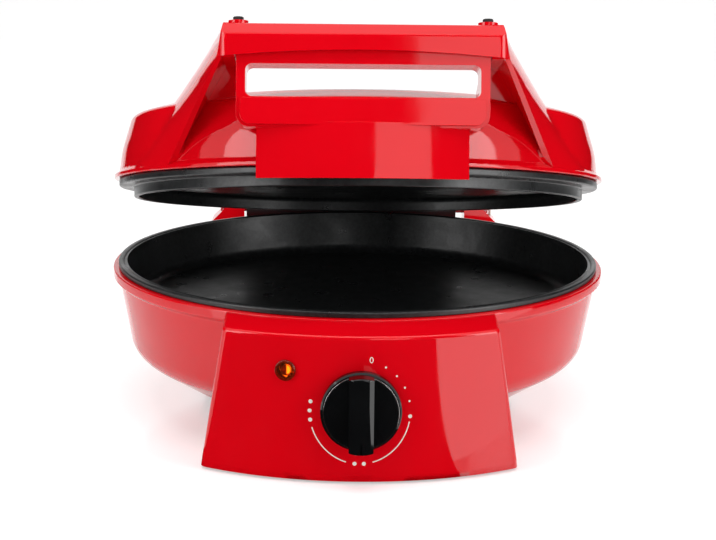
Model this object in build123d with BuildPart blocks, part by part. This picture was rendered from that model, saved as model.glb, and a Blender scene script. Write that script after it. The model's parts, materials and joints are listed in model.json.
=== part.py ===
from build123d import *

import os
from math import asin, cos, radians, sin, sqrt, tan

# Electric pizza maker: a round countertop cooker with a hinged lid.
# Lengths are in millimetres. X runs to the right, Y to the back and Z up.
# Heights are given from the rim plane of the lower pan, and lid pieces are
# drawn as they lie with the lid closed, on a plane that is tilted to the rest pose.

# Stance
rim_height = 99.0
table_gap = 1.5
lid_rest_angle = 13.6

# Clearances
seat_gap = 0.2
body_gap = 0.6
running_fit = 0.05

# Lower pan
pan_rim_radius = 162.0
pan_mouth_radius = 156.4
pan_floor_radius = 151.0
pan_depth = 30.0
pan_wall = 2.2
pan_floor_thickness = 4.0
pan_flange_thickness = 3.4
pan_groove_depth = 1.4
bead_width = 3.2

# Housing of the base, shaped like a bowl
lip_radius = 165.6
lip_height = 6.0
bowl_radius = 161.5
bowl_wall = 2.6
bowl_knee_reach = 153.0
bowl_knee_height = 60.0
bowl_knee_radius = 19.0
bowl_bottom_height = 88.0
bowl_bottom_radius = 108.0

# Control panel
panel_radius = 187.0
panel_crease_drop = 8.5
panel_top_half_width = 81.5
panel_bottom_half_width = 96.5
panel_side_radius = 5.0
panel_crease_radius = 2.5
panel_bevel_height = 4.5
panel_bevel_depth = 1.6
panel_wall = 2.6
panel_back = 118.0

# Hinge
hinge_offset = 187.0
hinge_pin_radius = 3.0
hinge_pin_bore_radius = 1.7
hinge_pin_length = 40.0
hinge_pin_inset = 8.0
barrel_radius = 9.0
barrel_half_width = 82.0
barrel_shift = -2.5
ear_inner_half_width = 86.0
ear_outer_half_width = 113.0
ear_top_half_width = 98.0
ear_shoulder_drop = 13.0
ear_top = 5.5
housing_back_depth = 17.0
housing_wall = 2.8
tongue_bottom = 6.4
tongue_thickness = 10.0
tongue_reach = 52.0

# Knob, thermostat and lamp
knob_radius = 24.0
knob_depth = 15.5
knob_disc_radius = 21.6
trim_width = 0.7
trim_height = 1.6
knob_axis_drop = 52.5
knob_grip_width = 14.6
knob_gap = 0.6
pointer_width = 1.2
pointer_length = 6.6
pointer_reach = 19.4
pointer_depth = 0.8
shaft_radius = 3.0
bush_radius = 5.0
thermostat_depth = 14.0
thermostat_screw_offset = 10.0
flat_head_height = 1.0
lamp_angle = -103.77
lamp_drop = 30.0
lens_radius = 6.3
lens_proud = 1.6
lens_body_radius = 4.9

# Upper plate
plate_flange_radius = 161.5
plate_flange_bottom = 0.5
plate_flange_thickness = 4.6
plate_skirt_radius = 151.5
plate_skirt_depth = 6.6
plate_skirt_wall = 3.2
plate_face_recess = 9.0
plate_thickness = 3.6

# Lid cover
lid_lip_radius = 164.6
lid_wall = 2.6
lid_side_radius = 160.9
lid_shoulder_radius = 153.5
lid_shoulder_height = 46.5
lid_crown_height = 58.0
arm_foot = (121.5, -109.0, 4.0)
arm_head = (86.5, -165.0, 68.0)
arm_tip = (83.0, -160.0, 89.0)
ridge_low = (124.0, -18.0, 53.0)
ridge_high = (84.0, -145.0, 89.0)
arm_bulge = 10.0
arm_edge = 3.0
arm_inner_half_width = 76.0
niche_back = 118.0
bar_front = 168.0
bar_back = 138.0
bar_bottom = 68.0
bar_arch = 4.5
bar_top = 89.0
bar_crease = 81.5
bar_end_half_width = 86.5
bar_wall = 2.8
lid_foot_top = 93.8
lid_foot_offset = 74.5
lid_foot_reach = 151.0
lid_foot_boss_radius = 6.0
lid_foot_cap_radius = 3.2

# Handle frame with its window and skirt
frame_half_width = 75.0
frame_top = 76.0
frame_bottom = 27.0
frame_front = 164.5
frame_back = 141.0
frame_corner_radius = 8.0
window_half_width = 69.5
window_bottom = 45.0
window_top = 64.4
window_corner_radius = 4.0
band_front = 167.0
band_top = 44.0
handle_screw_angle = 20.0
handle_screw_height = 36.0
skirt_half_width = 63.0
skirt_bottom = -3.0
skirt_thickness = 3.0
skirt_front = 168.0
skirt_curve_radius = 300.0

# Heating
element_ring_radius = 105.0
element_tube_radius = 3.3
element_gap_angle = 36.0
element_tail_length = 20.0
element_pin_radius = 1.3
element_pin_length = 7.0
rib_depth = 5.0
rib_side = 2.4
boss_circle = 128.0
boss_radius = 5.5
boss_length = 12.0
clamp_circle = 119.0
clamp_boss_radius = 4.0
clamp_sheet = 1.2
clamp_width = 10.0
reflector_radius = 138.0
reflector_sheet = 0.8

# Fasteners
screw_radius = 2.0
screw_head_radius = 3.8
screw_head_height = 2.4
small_screw_radius = 1.5
small_head_radius = 2.8
small_head_height = 1.8

# Bottom
cover_radius = 106.0
cover_thickness = 2.5
cover_screw_circle = 100.0
foot_radius = 8.0
foot_stem_radius = 3.0
front_foot_place = (72.0, -158.0)
rear_foot_place = (95.0, 190.0)

# Leads
lead_radius = 1.4
thin_lead_radius = 1.0
lead_channel_radius = 1.7
gland_radius = 7.0
gland_bore_radius = 3.6
gland_offset = 60.0
gland_drop = 82.0
gland_flange = 3.0
sheath_reach = 18.0

front_reach = panel_radius + knob_gap + knob_depth
back_reach = hinge_offset + housing_back_depth
pan_y = (front_reach - back_reach - gland_flange) / 2
table_z = -rim_height

# The hinge lies so that the lid, opened flat, rests on the feet of its handle.
hinge_z = (lid_foot_top + table_gap / 3 - rim_height) / 2


def axis_of(frame):
    """The line on which the frame's round pieces are centred."""
    return Axis(frame.origin, frame.z_dir)


def level(frame, height):
    """A plane parallel to the rim, at a height above it."""
    return frame.offset(height)


def radial_plane(frame):
    """A plane for outlines that are turned: across is the radius, up is the height."""
    return Plane(origin=frame.origin, x_dir=frame.x_dir, z_dir=frame.y_dir * -1)


def front_plane(frame, distance):
    """A plane seen from the front, at a distance in front of the frame's axis."""
    return radial_plane(frame).offset(distance)


def side_plane(frame, across=0.0):
    """A plane seen from the right: across is towards the back, up is the height."""
    return Plane(origin=frame.origin + frame.x_dir * across, x_dir=frame.y_dir, z_dir=frame.x_dir)


def spot(frame, angle, radius, height):
    """A plane on a round wall, facing outwards, at an angle from the frame's X axis."""
    outward = frame.x_dir * cos(radians(angle)) + frame.y_dir * sin(radians(angle))
    place = frame.origin + outward * radius + frame.z_dir * height
    return Plane(origin=place, x_dir=frame.z_dir.cross(outward), z_dir=outward)


base = Plane(origin=(0, pan_y, rim_height))
tilt = radians(lid_rest_angle)
lid_normal = Vector(0, sin(tilt), cos(tilt))
lid_forward = Vector(0, -cos(tilt), sin(tilt))
hinge_point = Vector(0, pan_y + hinge_offset, rim_height + hinge_z)
lid = Plane(
    origin=hinge_point + lid_forward * hinge_offset - lid_normal * hinge_z,
    x_dir=(1, 0, 0),
    z_dir=lid_normal,
)


def trace(corners):
    """Draws a closed outline through corners given as (across, up, radius)."""
    count = len(corners)
    starts = []
    middles = []
    ends = []
    for index, (x, y, radius) in enumerate(corners):
        here = Vector(x, y)
        before = (Vector(*corners[index - 1][:2]) - here).normalized()
        after = (Vector(*corners[(index + 1) % count][:2]) - here).normalized()
        half = radians(before.get_angle(after)) / 2
        reach = radius / tan(half)
        starts.append(here + before * reach)
        ends.append(here + after * reach)
        bisector = (before + after) * 0.5
        if radius > 0:
            middles.append(here + bisector.normalized() * (radius / sin(half) - radius))
        else:
            middles.append(None)
    for index in range(count):
        if middles[index] is not None:
            ThreePointArc(starts[index], middles[index], ends[index])
        Line(ends[index], starts[(index + 1) % count])


def outline(plane, corners):
    """A face with the given corners on a plane."""
    with BuildSketch(plane) as face:
        with BuildLine():
            trace(corners)
        make_face()
    return face.sketch


def disc(plane, radius, centre=(0, 0)):
    """A round face on a plane."""
    with BuildSketch(plane) as face:
        with Locations(centre):
            Circle(radius)
    return face.sketch


def peg(plane, radius, length, mode=Mode.ADD):
    """A round bar that starts on a plane and runs along its normal."""
    extrude(disc(plane, radius), amount=length, mode=mode)


def ring_of_pegs(plane, circle, count, radius, length, start_angle=0.0, mode=Mode.ADD):
    """Round bars on a circle, running along the plane's normal."""
    with BuildSketch(plane) as discs:
        with PolarLocations(circle, count, start_angle=start_angle):
            Circle(radius)
    extrude(discs.sketch, amount=length, mode=mode)


def screw(plane, radius, length, head_radius, head_height):
    """A round headed screw: the shank runs along the plane's normal, the head behind it."""
    peg(plane, radius, length)
    peg(plane.offset(-head_height), head_radius, head_height)


def lead(frame, radius, corners, bend=3.0):
    """A wire through the given corners, added to the open part."""
    places = [frame.from_local_coords(Vector(*corner)) for corner in corners]
    with BuildLine() as path:
        FilletPolyline(*places, radius=bend)
    with BuildSketch(Plane(origin=path.line @ 0, z_dir=path.line % 0)) as section:
        Circle(radius)
    sweep(section.sketch, path=path.line)


def finish(part, name):
    """Names a piece and writes its file."""
    part.label = name
    export_step(part, "parts/" + name + ".step")


os.makedirs("parts", exist_ok=True)

# Heights of what hangs under the pan (side -1) and of what stands on the upper plate (side 1).
pan_underside = -pan_depth - pan_floor_thickness
plate_face = -plate_skirt_depth + plate_face_recess
plate_top = plate_face + plate_thickness


def element_level(surface, side):
    """Height of the heating tube's centre line, half sunk in its ribs."""
    return surface + side * (rib_depth + 0.4)


def clamp_level(surface, side):
    """Height of the strip's face that presses on the tube."""
    return element_level(surface, side) + side * (element_tube_radius + seat_gap)


def reflector_level(surface, side):
    """Height of the reflector's face that lies on the bosses."""
    return surface + side * (boss_length + seat_gap)


def facing(frame, side):
    """The frame's rim plane, turned to face down for side -1."""
    if side > 0:
        return frame
    return Plane(origin=frame.origin, x_dir=frame.x_dir, z_dir=frame.z_dir * -1)


def heating_features(frame, surface, side):
    """Ribs, bosses and bores on the hidden face of a cast plate, added to the open part."""
    outward = facing(frame, side)
    start = side * surface - 0.5
    half_width = element_tube_radius + rib_side
    clamp_boss_length = side * (clamp_level(surface, side) - surface) - seat_gap
    with BuildSketch(level(outward, start)) as ribs:
        Circle(element_ring_radius + half_width)
        Circle(element_ring_radius - half_width, mode=Mode.SUBTRACT)
    extrude(ribs.sketch, amount=rib_depth + 0.5)
    ring_of_pegs(level(outward, start), boss_circle, 4, boss_radius, boss_length + 0.5, 45)
    ring_of_pegs(level(outward, start), clamp_circle, 3, clamp_boss_radius, clamp_boss_length + 0.5, 30)
    revolve(
        disc(
            radial_plane(frame),
            element_tube_radius + 0.15,
            (element_ring_radius, element_level(surface, side)),
        ),
        axis=axis_of(frame),
        mode=Mode.SUBTRACT,
    )
    boss_end = level(outward, start + boss_length + 0.5)
    ring_of_pegs(boss_end, boss_circle, 4, screw_radius + running_fit, 1.5 - boss_length, 45, Mode.SUBTRACT)
    clamp_end = level(outward, start + clamp_boss_length + 0.5)
    clamp_bore = small_screw_radius + running_fit
    ring_of_pegs(clamp_end, clamp_circle, 3, clamp_bore, 1.0 - clamp_boss_length, 30, Mode.SUBTRACT)


def heating_element(frame, surface, side, gap_angle):
    """A round tubular heater with two tails and their pins, added to the open part."""
    plane = level(frame, element_level(surface, side))
    ends = []
    for turn in (1, -1):
        angle = radians(gap_angle + turn * element_gap_angle / 2)
        ends.append(Vector(element_ring_radius * cos(angle), element_ring_radius * sin(angle)))
    middle = radians(gap_angle)
    opposite = Vector(-element_ring_radius * cos(middle), -element_ring_radius * sin(middle))
    with BuildLine() as ring:
        ThreePointArc(*[plane.from_local_coords(place) for place in (ends[0], opposite, ends[1])])
    with BuildSketch(Plane(origin=ring.line @ 0, z_dir=ring.line % 0)) as tube:
        Circle(element_tube_radius)
    sweep(tube.sketch, path=ring.line)
    for end in ends:
        tail = Plane(
            origin=plane.from_local_coords(end),
            x_dir=frame.x_dir,
            z_dir=frame.z_dir * side,
        )
        with Locations(tail.location):
            Sphere(element_tube_radius)
        peg(tail, element_tube_radius, element_tail_length)
        peg(tail.offset(element_tail_length - 1), element_pin_radius, element_pin_length + 1)


def element_clamps(frame, surface, side):
    """Three strips that hold the heating tube, added to the open part."""
    outward = facing(frame, side)
    inner = element_ring_radius - element_tube_radius - 3
    outer = clamp_circle + clamp_boss_radius + 1
    with BuildSketch(level(outward, side * clamp_level(surface, side))) as strips:
        with PolarLocations((inner + outer) / 2, 3, start_angle=30):
            RectangleRounded(outer - inner, clamp_width, 2)
        with PolarLocations(clamp_circle, 3, start_angle=30):
            Circle(small_screw_radius + 0.3, mode=Mode.SUBTRACT)
    extrude(strips.sketch, amount=clamp_sheet)


def clamp_screws(frame, surface, side):
    """The screws of the three strips, added to the open part."""
    outward = facing(frame, side)
    height = side * clamp_level(surface, side) + clamp_sheet + 0.1
    for angle in (30, 150, 270):
        place = spot(outward, angle, clamp_circle, height).origin
        inward = Plane(origin=place, x_dir=outward.x_dir, z_dir=outward.z_dir * -1)
        screw(inward, small_screw_radius, 7.5, small_head_radius, small_head_height)


def reflector(frame, surface, side, gap_angle):
    """A sheet that sends the heat back, with holes for screws and tails, added to the open part."""
    outward = facing(frame, side)
    height = side * reflector_level(surface, side)
    with BuildSketch(level(outward, height)) as sheet:
        Circle(reflector_radius)
        with PolarLocations(boss_circle, 4, start_angle=45):
            Circle(screw_radius + 0.3, mode=Mode.SUBTRACT)
    extrude(sheet.sketch, amount=reflector_sheet)
    for turn in (1, -1):
        angle = gap_angle + turn * element_gap_angle / 2
        place = spot(frame, angle, element_ring_radius, surface).origin
        hole = Plane(origin=place, x_dir=frame.x_dir, z_dir=frame.z_dir * side)
        peg(hole, element_tube_radius + 1.5, boss_length + 4, Mode.SUBTRACT)


# Lower pan: a cast dish with a beaded flange that rests on the bowl's rim.
pan_outer_mouth = pan_mouth_radius - 0.6 + pan_wall
pan_outer_floor = pan_floor_radius + pan_wall
groove_inner = pan_mouth_radius + 0.4
groove_outer = pan_rim_radius - bead_width

with BuildPart() as lower_pan:
    revolve(
        outline(
            radial_plane(base),
            [
                (0, -pan_depth, 0),
                (pan_floor_radius, -pan_depth, 8),
                (pan_mouth_radius - 0.6, -4.0, 6),
                (pan_mouth_radius - 0.1, -0.5, 0),
                (groove_inner, -0.5, 0),
                (groove_inner + 0.7, -pan_groove_depth, 0),
                (groove_outer - 0.6, -pan_groove_depth, 0),
                (groove_outer, -0.4, 0.3),
                (groove_outer + 0.8, 0, 0.6),
                (pan_rim_radius, 0, 1.2),
                (pan_rim_radius, -pan_flange_thickness, 0.4),
                (pan_outer_mouth, -pan_flange_thickness, 0.5),
                (pan_outer_floor, -pan_depth - 1.5, 6),
                (pan_outer_floor - 14, pan_underside, 4),
                (0, pan_underside, 0),
            ],
        ),
        axis=axis_of(base),
    )
    heating_features(base, pan_underside, -1)
finish(lower_pan.part, "lower_pan")

with BuildPart() as lower_element:
    heating_element(base, pan_underside, -1, -90)
finish(lower_element.part, "lower_heating_element")

with BuildPart() as lower_clamps:
    element_clamps(base, pan_underside, -1)
finish(lower_clamps.part, "lower_element_clamps")

with BuildPart() as lower_clamp_screws:
    clamp_screws(base, pan_underside, -1)
finish(lower_clamp_screws.part, "lower_clamp_screws")

with BuildPart() as lower_reflector:
    reflector(base, pan_underside, -1, -90)
finish(lower_reflector.part, "lower_reflector")

# Housing of the base: a bowl turned in one piece and cut for what it carries.
bowl_inner = bowl_radius - bowl_wall
bowl_top = -pan_flange_thickness - seat_gap
lip_bottom = bowl_top - lip_height
bowl_wall_top = lip_bottom - 3.0
inner_wall_top = bowl_top - 4.5
floor_top = -bowl_bottom_height + bowl_wall
floor_opening = cover_radius - 12
bowl_outline = [
    (lip_radius, bowl_top, 1.2),
    (lip_radius, lip_bottom, 1.6),
    (bowl_radius, bowl_wall_top, 1.6),
    (bowl_knee_reach, -bowl_knee_height, bowl_knee_radius),
    (bowl_bottom_radius, -bowl_bottom_height, 6),
]
tower_top = -(abs(pan_underside) + boss_length + reflector_sheet + 2 * seat_gap)
tower_counterbore = 66.0
pan_screw_tip = abs(pan_underside) + 3.0
boss_outer = 4.2
cover_boss_height = 8.0
panel_window = (64.0, 20.0, 82.0)
panel_boss_angles = (-90 - 29, -90 + 29)
panel_boss_heights = (-38.0, -48.0)
rear_boss_angles = (90 - 20, 90 + 20)
rear_boss_heights = (-38.0, -48.0)
window_reach = 108.0


def bowl_inside(height):
    """Radius of the bowl's inner wall at a height, above the knee's curve."""
    share = (inner_wall_top - height) / (bowl_knee_height - 1.6 + inner_wall_top)
    return bowl_inner + share * (bowl_knee_reach - bowl_radius)


def cut_bowl(clearance):
    """Takes the bowl's space, with a clearance around it, from the open part."""
    grown = [(across + clearance, up, radius) for across, up, radius in bowl_outline]
    grown[0] = (lip_radius + clearance, bowl_top + 12, 0)
    grown[1] = (lip_radius + clearance, lip_bottom - clearance, 1.6)
    grown[-1] = (bowl_bottom_radius + clearance / 2, -bowl_bottom_height - clearance, 6)
    closed = [(0, bowl_top + 12, 0)] + grown + [(0, -bowl_bottom_height - clearance, 0)]
    revolve(outline(radial_plane(base), closed), axis=axis_of(base), mode=Mode.SUBTRACT)


with BuildPart() as bowl_void:
    revolve(
        outline(
            radial_plane(base),
            [
                (0, bowl_top + 1, 0),
                (pan_outer_mouth + body_gap, bowl_top + 1, 0),
                (pan_outer_mouth + body_gap, bowl_top - 3.0, 0),
                (bowl_inner, inner_wall_top, 0),
                (bowl_knee_reach - bowl_wall, -bowl_knee_height + 1.6, bowl_knee_radius - bowl_wall),
                (bowl_bottom_radius - 0.6, floor_top, 4),
                (0, floor_top, 0),
            ],
        ),
        axis=axis_of(base),
    )
    with BuildSketch(level(base, tower_top)) as towers:
        with PolarLocations(boss_circle, 4, start_angle=45):
            Circle(boss_radius)
    extrude(towers.sketch, amount=-60, mode=Mode.SUBTRACT)
    with BuildSketch(level(base, floor_top + cover_boss_height)) as cover_bosses:
        with PolarLocations(cover_screw_circle, 4):
            Circle(boss_outer)
    extrude(cover_bosses.sketch, amount=-cover_boss_height - 5, mode=Mode.SUBTRACT)

with BuildPart() as base_housing:
    revolve(
        outline(
            radial_plane(base),
            [(0, bowl_top, 0)] + bowl_outline + [(0, -bowl_bottom_height, 0)],
        ),
        axis=axis_of(base),
    )
    add(bowl_void.part, mode=Mode.SUBTRACT)
    # Opening over the bottom cover
    peg(level(base, -bowl_bottom_height - 1), floor_opening, bowl_wall + 2, Mode.SUBTRACT)
    # Bores of the long pan screws, with their heads' counterbores from below
    with BuildSketch(level(base, tower_top + 1)) as tower_bores:
        with PolarLocations(boss_circle, 4, start_angle=45):
            Circle(screw_radius + 0.3)
    extrude(tower_bores.sketch, amount=-60, mode=Mode.SUBTRACT)
    with BuildSketch(level(base, -tower_counterbore)) as counterbores:
        with PolarLocations(boss_circle, 4, start_angle=45):
            Circle(screw_head_radius + 0.4)
    extrude(counterbores.sketch, amount=-30, mode=Mode.SUBTRACT)
    # Bores of the bottom cover's screws
    with BuildSketch(level(base, -bowl_bottom_height - 1)) as cover_bores:
        with PolarLocations(cover_screw_circle, 4):
            Circle(small_screw_radius + running_fit)
    extrude(cover_bores.sketch, amount=cover_boss_height + 1.5, mode=Mode.SUBTRACT)
    # Window behind the control panel, and the opening into the hinge housing
    half_width, top, bottom = panel_window
    for opening, distance in ((front_plane(base, window_reach), 70), (front_plane(base, -window_reach), -70)):
        with BuildSketch(opening) as window:
            with Locations((0, -(top + bottom) / 2)):
                RectangleRounded(2 * half_width, bottom - top, 6)
        extrude(window.sketch, amount=distance, mode=Mode.SUBTRACT)
    # Screw holes towards the control panel and the hinge housing
    for angles, heights in (
        (panel_boss_angles, panel_boss_heights),
        (rear_boss_angles, rear_boss_heights),
    ):
        for angle in angles:
            for height in heights:
                peg(spot(base, angle, 150, height), small_screw_radius + 0.3, 20, Mode.SUBTRACT)
finish(base_housing.part, "base_housing")

with BuildPart() as pan_screws:
    for angle in (45, 135, 225, 315):
        place = spot(base, angle, boss_circle, -tower_counterbore).origin
        upward = Plane(origin=place, x_dir=base.x_dir, z_dir=base.z_dir)
        screw(upward, screw_radius, tower_counterbore - pan_screw_tip, screw_head_radius, screw_head_height)
finish(pan_screws.part, "pan_screws")

# Control panel: a hollow box with a rounded front, screwed to the bowl from inside.
panel_bottom = table_z + table_gap
panel_outline = [
    (panel_back, bowl_top, 0),
    (lip_radius + seat_gap + 1, bowl_top - 0.6, 0),
    (panel_radius, -panel_crease_drop, 0),
    (panel_radius, panel_bottom + panel_bevel_height, 0),
    (panel_radius - panel_bevel_depth, panel_bottom, 0),
    (panel_back, panel_bottom, 0),
]


def panel_trapezoid(inset):
    """The panel's outline as seen from the front, drawn in by an inset."""
    slope = (panel_bottom_half_width - panel_top_half_width) / (abs(panel_bottom) - abs(bowl_top))
    top = panel_top_half_width - inset
    bottom = panel_bottom_half_width - inset - slope * inset
    return outline(
        front_plane(base, panel_back),
        [
            (-top, bowl_top - inset, 0),
            (top, bowl_top - inset, 0),
            (bottom, panel_bottom + inset, 0),
            (-bottom, panel_bottom + inset, 0),
        ],
    )


with BuildPart() as panel_void:
    extrude(panel_trapezoid(panel_wall), amount=panel_radius)
    revolve(
        outline(
            radial_plane(base),
            [
                (panel_back - 20, bowl_top - panel_wall, 0),
                (lip_radius, bowl_top - panel_wall, 0),
                (panel_radius - panel_wall, -panel_crease_drop - panel_wall, 1.0),
                (panel_radius - panel_wall, panel_bottom + panel_wall, 0),
                (panel_back - 20, panel_bottom + panel_wall, 0),
            ],
        ),
        axis=axis_of(base),
        mode=Mode.INTERSECT,
    )
    for angle in panel_boss_angles:
        for height in panel_boss_heights:
            peg(spot(base, angle, 150, height), boss_outer, 60, Mode.SUBTRACT)

with BuildPart() as control_panel:
    extrude(panel_trapezoid(0), amount=panel_radius)
    revolve(outline(radial_plane(base), panel_outline), axis=axis_of(base), mode=Mode.INTERSECT)
    rounded_faces = control_panel.faces().filter_by(GeomType.PLANE, reverse=True).sort_by(Axis.Y)[:2]
    side_edges = []
    for face in rounded_faces:
        ends = face.edges().sort_by(Axis.X)
        side_edges.extend([ends[0], ends[-1]])
    fillet(side_edges, radius=panel_side_radius)
    front_face = control_panel.faces().filter_by(GeomType.CYLINDER).sort_by(SortBy.AREA)[-1]
    top_edge = front_face.edges().sort_by(Axis.Z)[-1]
    fillet(top_edge, radius=panel_crease_radius)
    add(panel_void.part, mode=Mode.SUBTRACT)
    cut_bowl(seat_gap)
    for angle in panel_boss_angles:
        for height in panel_boss_heights:
            peg(spot(base, angle, 150, height), small_screw_radius + running_fit, 26, Mode.SUBTRACT)
    # Bores for the thermostat's bush and the lamp's lens
    with BuildSketch(front_plane(base, panel_radius - 10)) as bores:
        with Locations((0, -knob_axis_drop)):
            Circle(bush_radius + 0.2)
    extrude(bores.sketch, amount=20, mode=Mode.SUBTRACT)
    # Holes for the thermostat's screws, with room for their flat heads, and for the feet
    for side in (-1, 1):
        for start, radius in ((-20.0, small_screw_radius + 0.2), (-flat_head_height - 0.3, small_head_radius + 0.2)):
            with BuildSketch(front_plane(base, panel_radius + start)) as screw_hole:
                with Locations((side * thermostat_screw_offset, -knob_axis_drop)):
                    Circle(radius)
            extrude(screw_hole.sketch, amount=30, mode=Mode.SUBTRACT)
        with BuildSketch(level(base, panel_bottom - 1)) as stem_bore:
            with Locations((side * front_foot_place[0], front_foot_place[1])):
                Circle(foot_stem_radius + running_fit)
        extrude(stem_bore.sketch, amount=panel_wall + 3, mode=Mode.SUBTRACT)
    lens_hole = spot(base, lamp_angle, panel_radius - 10, -lamp_drop)
    peg(lens_hole, lens_body_radius + running_fit, 20, Mode.SUBTRACT)
finish(control_panel.part, "control_panel")

# Bottom cover: a vented disc under the bowl that also stands as its pedestal.
cover_top = -bowl_bottom_height - seat_gap
with BuildPart() as bottom_cover:
    peg(level(base, cover_top - cover_thickness), cover_radius, cover_thickness)
    chamfer(bottom_cover.edges().group_by(Axis.Z)[0], length=1.0)
    ring_of_pegs(
        level(base, cover_top + 1), cover_screw_circle, 4, small_screw_radius + 0.3, -10, mode=Mode.SUBTRACT
    )
    for circle, count in ((52, 12), (70, 18), (86, 24)):
        with BuildSketch(level(base, cover_top + 1)) as vents:
            with PolarLocations(circle, count, start_angle=180 / count):
                SlotOverall(12, 3.4)
        extrude(vents.sketch, amount=-10, mode=Mode.SUBTRACT)
finish(bottom_cover.part, "bottom_cover")

with BuildPart() as bottom_cover_screws:
    for angle in (0, 90, 180, 270):
        place = spot(base, angle, cover_screw_circle, cover_top - cover_thickness - 0.1).origin
        upward = Plane(origin=place, x_dir=base.x_dir, z_dir=base.z_dir)
        screw(upward, small_screw_radius, 9, small_head_radius, small_head_height - 0.8)
finish(bottom_cover_screws.part, "bottom_cover_screws")

# Hinge housing: a hollow box behind the bowl whose ears hold the hinge pins.
tongue_top = tongue_bottom + tongue_thickness
notch_floor = 2 * hinge_z - tongue_top - 3.0
housing_bottom = panel_bottom


def housing_front(inset):
    """The hinge housing as seen from behind, drawn in by an inset."""
    return outline(
        front_plane(base, -back_reach + inset),
        [
            (-ear_outer_half_width + inset, housing_bottom + inset, 6),
            (ear_outer_half_width - inset, housing_bottom + inset, 6),
            (ear_outer_half_width - inset, -ear_shoulder_drop - inset, 7),
            (ear_top_half_width - inset, ear_top - 3.5 - inset, 7),
            (ear_inner_half_width, ear_top - inset, 0),
            (-ear_inner_half_width, ear_top - inset, 0),
            (-ear_top_half_width + inset, ear_top - 3.5 - inset, 7),
            (-ear_outer_half_width + inset, -ear_shoulder_drop - inset, 7),
        ],
    )


with BuildPart() as housing_void:
    extrude(housing_front(housing_wall), amount=100)
    with BuildSketch(level(base, notch_floor - housing_wall)) as roof:
        Rectangle(400, 500)
    extrude(roof.sketch, amount=60, mode=Mode.SUBTRACT)
    for angle in rear_boss_angles:
        for height in rear_boss_heights:
            peg(spot(base, angle, 150, height), boss_outer, 80, Mode.SUBTRACT)

with BuildPart() as hinge_housing:
    extrude(housing_front(0), amount=back_reach - cover_radius - 2)
    extrude(
        outline(
            side_plane(base, -ear_outer_half_width - 10),
            [
                (60, notch_floor, 0),
                (hinge_offset - 14, notch_floor, 3),
                (hinge_offset - 9.5, ear_top, 7),
                (hinge_offset + 9.5, ear_top, 7),
                (back_reach, hinge_z - 8, 6),
                (back_reach, housing_bottom, 4),
                (60, housing_bottom, 0),
            ],
        ),
        amount=2 * ear_outer_half_width + 20,
        mode=Mode.INTERSECT,
    )
    with BuildSketch(level(base, notch_floor)) as notch:
        with Locations((0, hinge_offset)):
            Rectangle(2 * ear_inner_half_width, 120)
    extrude(notch.sketch, amount=60, mode=Mode.SUBTRACT)
    add(housing_void.part, mode=Mode.SUBTRACT)
    cut_bowl(seat_gap)
    for angle in rear_boss_angles:
        for height in rear_boss_heights:
            peg(spot(base, angle, 150, height), small_screw_radius + running_fit, 24, Mode.SUBTRACT)
    # Blind bores of the pins, and the channel that leads the lid's supply down from one of them
    pin_bore_reach = ear_outer_half_width - hinge_pin_inset + 4
    with BuildSketch(side_plane(base, -pin_bore_reach)) as pin_bore:
        with Locations((hinge_offset, hinge_z)):
            Circle(hinge_pin_radius + running_fit)
    extrude(pin_bore.sketch, amount=2 * pin_bore_reach, mode=Mode.SUBTRACT)
    with BuildSketch(level(base, hinge_z)) as channel:
        with Locations((pin_bore_reach - 2, hinge_offset)):
            Circle(lead_channel_radius)
    extrude(channel.sketch, amount=-30, mode=Mode.SUBTRACT)
    with BuildSketch(level(base, housing_bottom - 1)) as stem_bores:
        with Locations((rear_foot_place[0], rear_foot_place[1]), (-rear_foot_place[0], rear_foot_place[1])):
            Circle(foot_stem_radius + running_fit)
    extrude(stem_bores.sketch, amount=housing_wall + 3, mode=Mode.SUBTRACT)
    with BuildSketch(front_plane(base, -back_reach - 5)) as gland_bore:
        with Locations((gland_offset, -gland_drop)):
            Circle(gland_radius - 1.5)
    extrude(gland_bore.sketch, amount=20, mode=Mode.SUBTRACT)
finish(hinge_housing.part, "hinge_housing")

with BuildPart() as housing_screws:
    for angle in rear_boss_angles:
        for height in rear_boss_heights:
            screw(
                spot(base, angle, bowl_inside(height) - 0.8, height),
                small_screw_radius,
                16,
                small_head_radius,
                small_head_height,
            )
finish(housing_screws.part, "hinge_housing_screws")

with BuildPart() as panel_screws:
    for angle in panel_boss_angles:
        for height in panel_boss_heights:
            screw(
                spot(base, angle, bowl_inside(height) - 0.8, height),
                small_screw_radius,
                16,
                small_head_radius,
                small_head_height,
            )
finish(panel_screws.part, "control_panel_screws")

# Hinge pins: hollow, so that the lid's supply passes through one of them.
with BuildPart() as hinge_pins:
    for side in (-1, 1):
        start = side_plane(base, side * (ear_outer_half_width - hinge_pin_inset))
        with BuildSketch(start) as pin:
            with Locations((hinge_offset, hinge_z)):
                Circle(hinge_pin_radius)
                Circle(hinge_pin_bore_radius, mode=Mode.SUBTRACT)
        extrude(pin.sketch, amount=-side * hinge_pin_length)
finish(hinge_pins.part, "hinge_pins")

# Rubber feet with stems pressed into the floors of panel and housing.
foot_pad = table_gap - seat_gap


def feet(place, wall):
    """A pair of round feet, each with a stem through the floor above it, added to the open part."""
    for side in (-1, 1):
        for radius, length in ((foot_radius, foot_pad), (foot_stem_radius, table_gap + wall + 1.5)):
            with BuildSketch(level(base, table_z)) as pad:
                with Locations((side * place[0], place[1])):
                    Circle(radius)
            extrude(pad.sketch, amount=length)


with BuildPart() as front_feet:
    feet(front_foot_place, panel_wall)
    fillet(front_feet.edges().group_by(Axis.Z)[0], radius=0.5)
finish(front_feet.part, "front_feet")

with BuildPart() as rear_feet:
    feet(rear_foot_place, housing_wall)
    fillet(rear_feet.edges().group_by(Axis.Z)[0], radius=0.5)
finish(rear_feet.part, "rear_feet")

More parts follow.
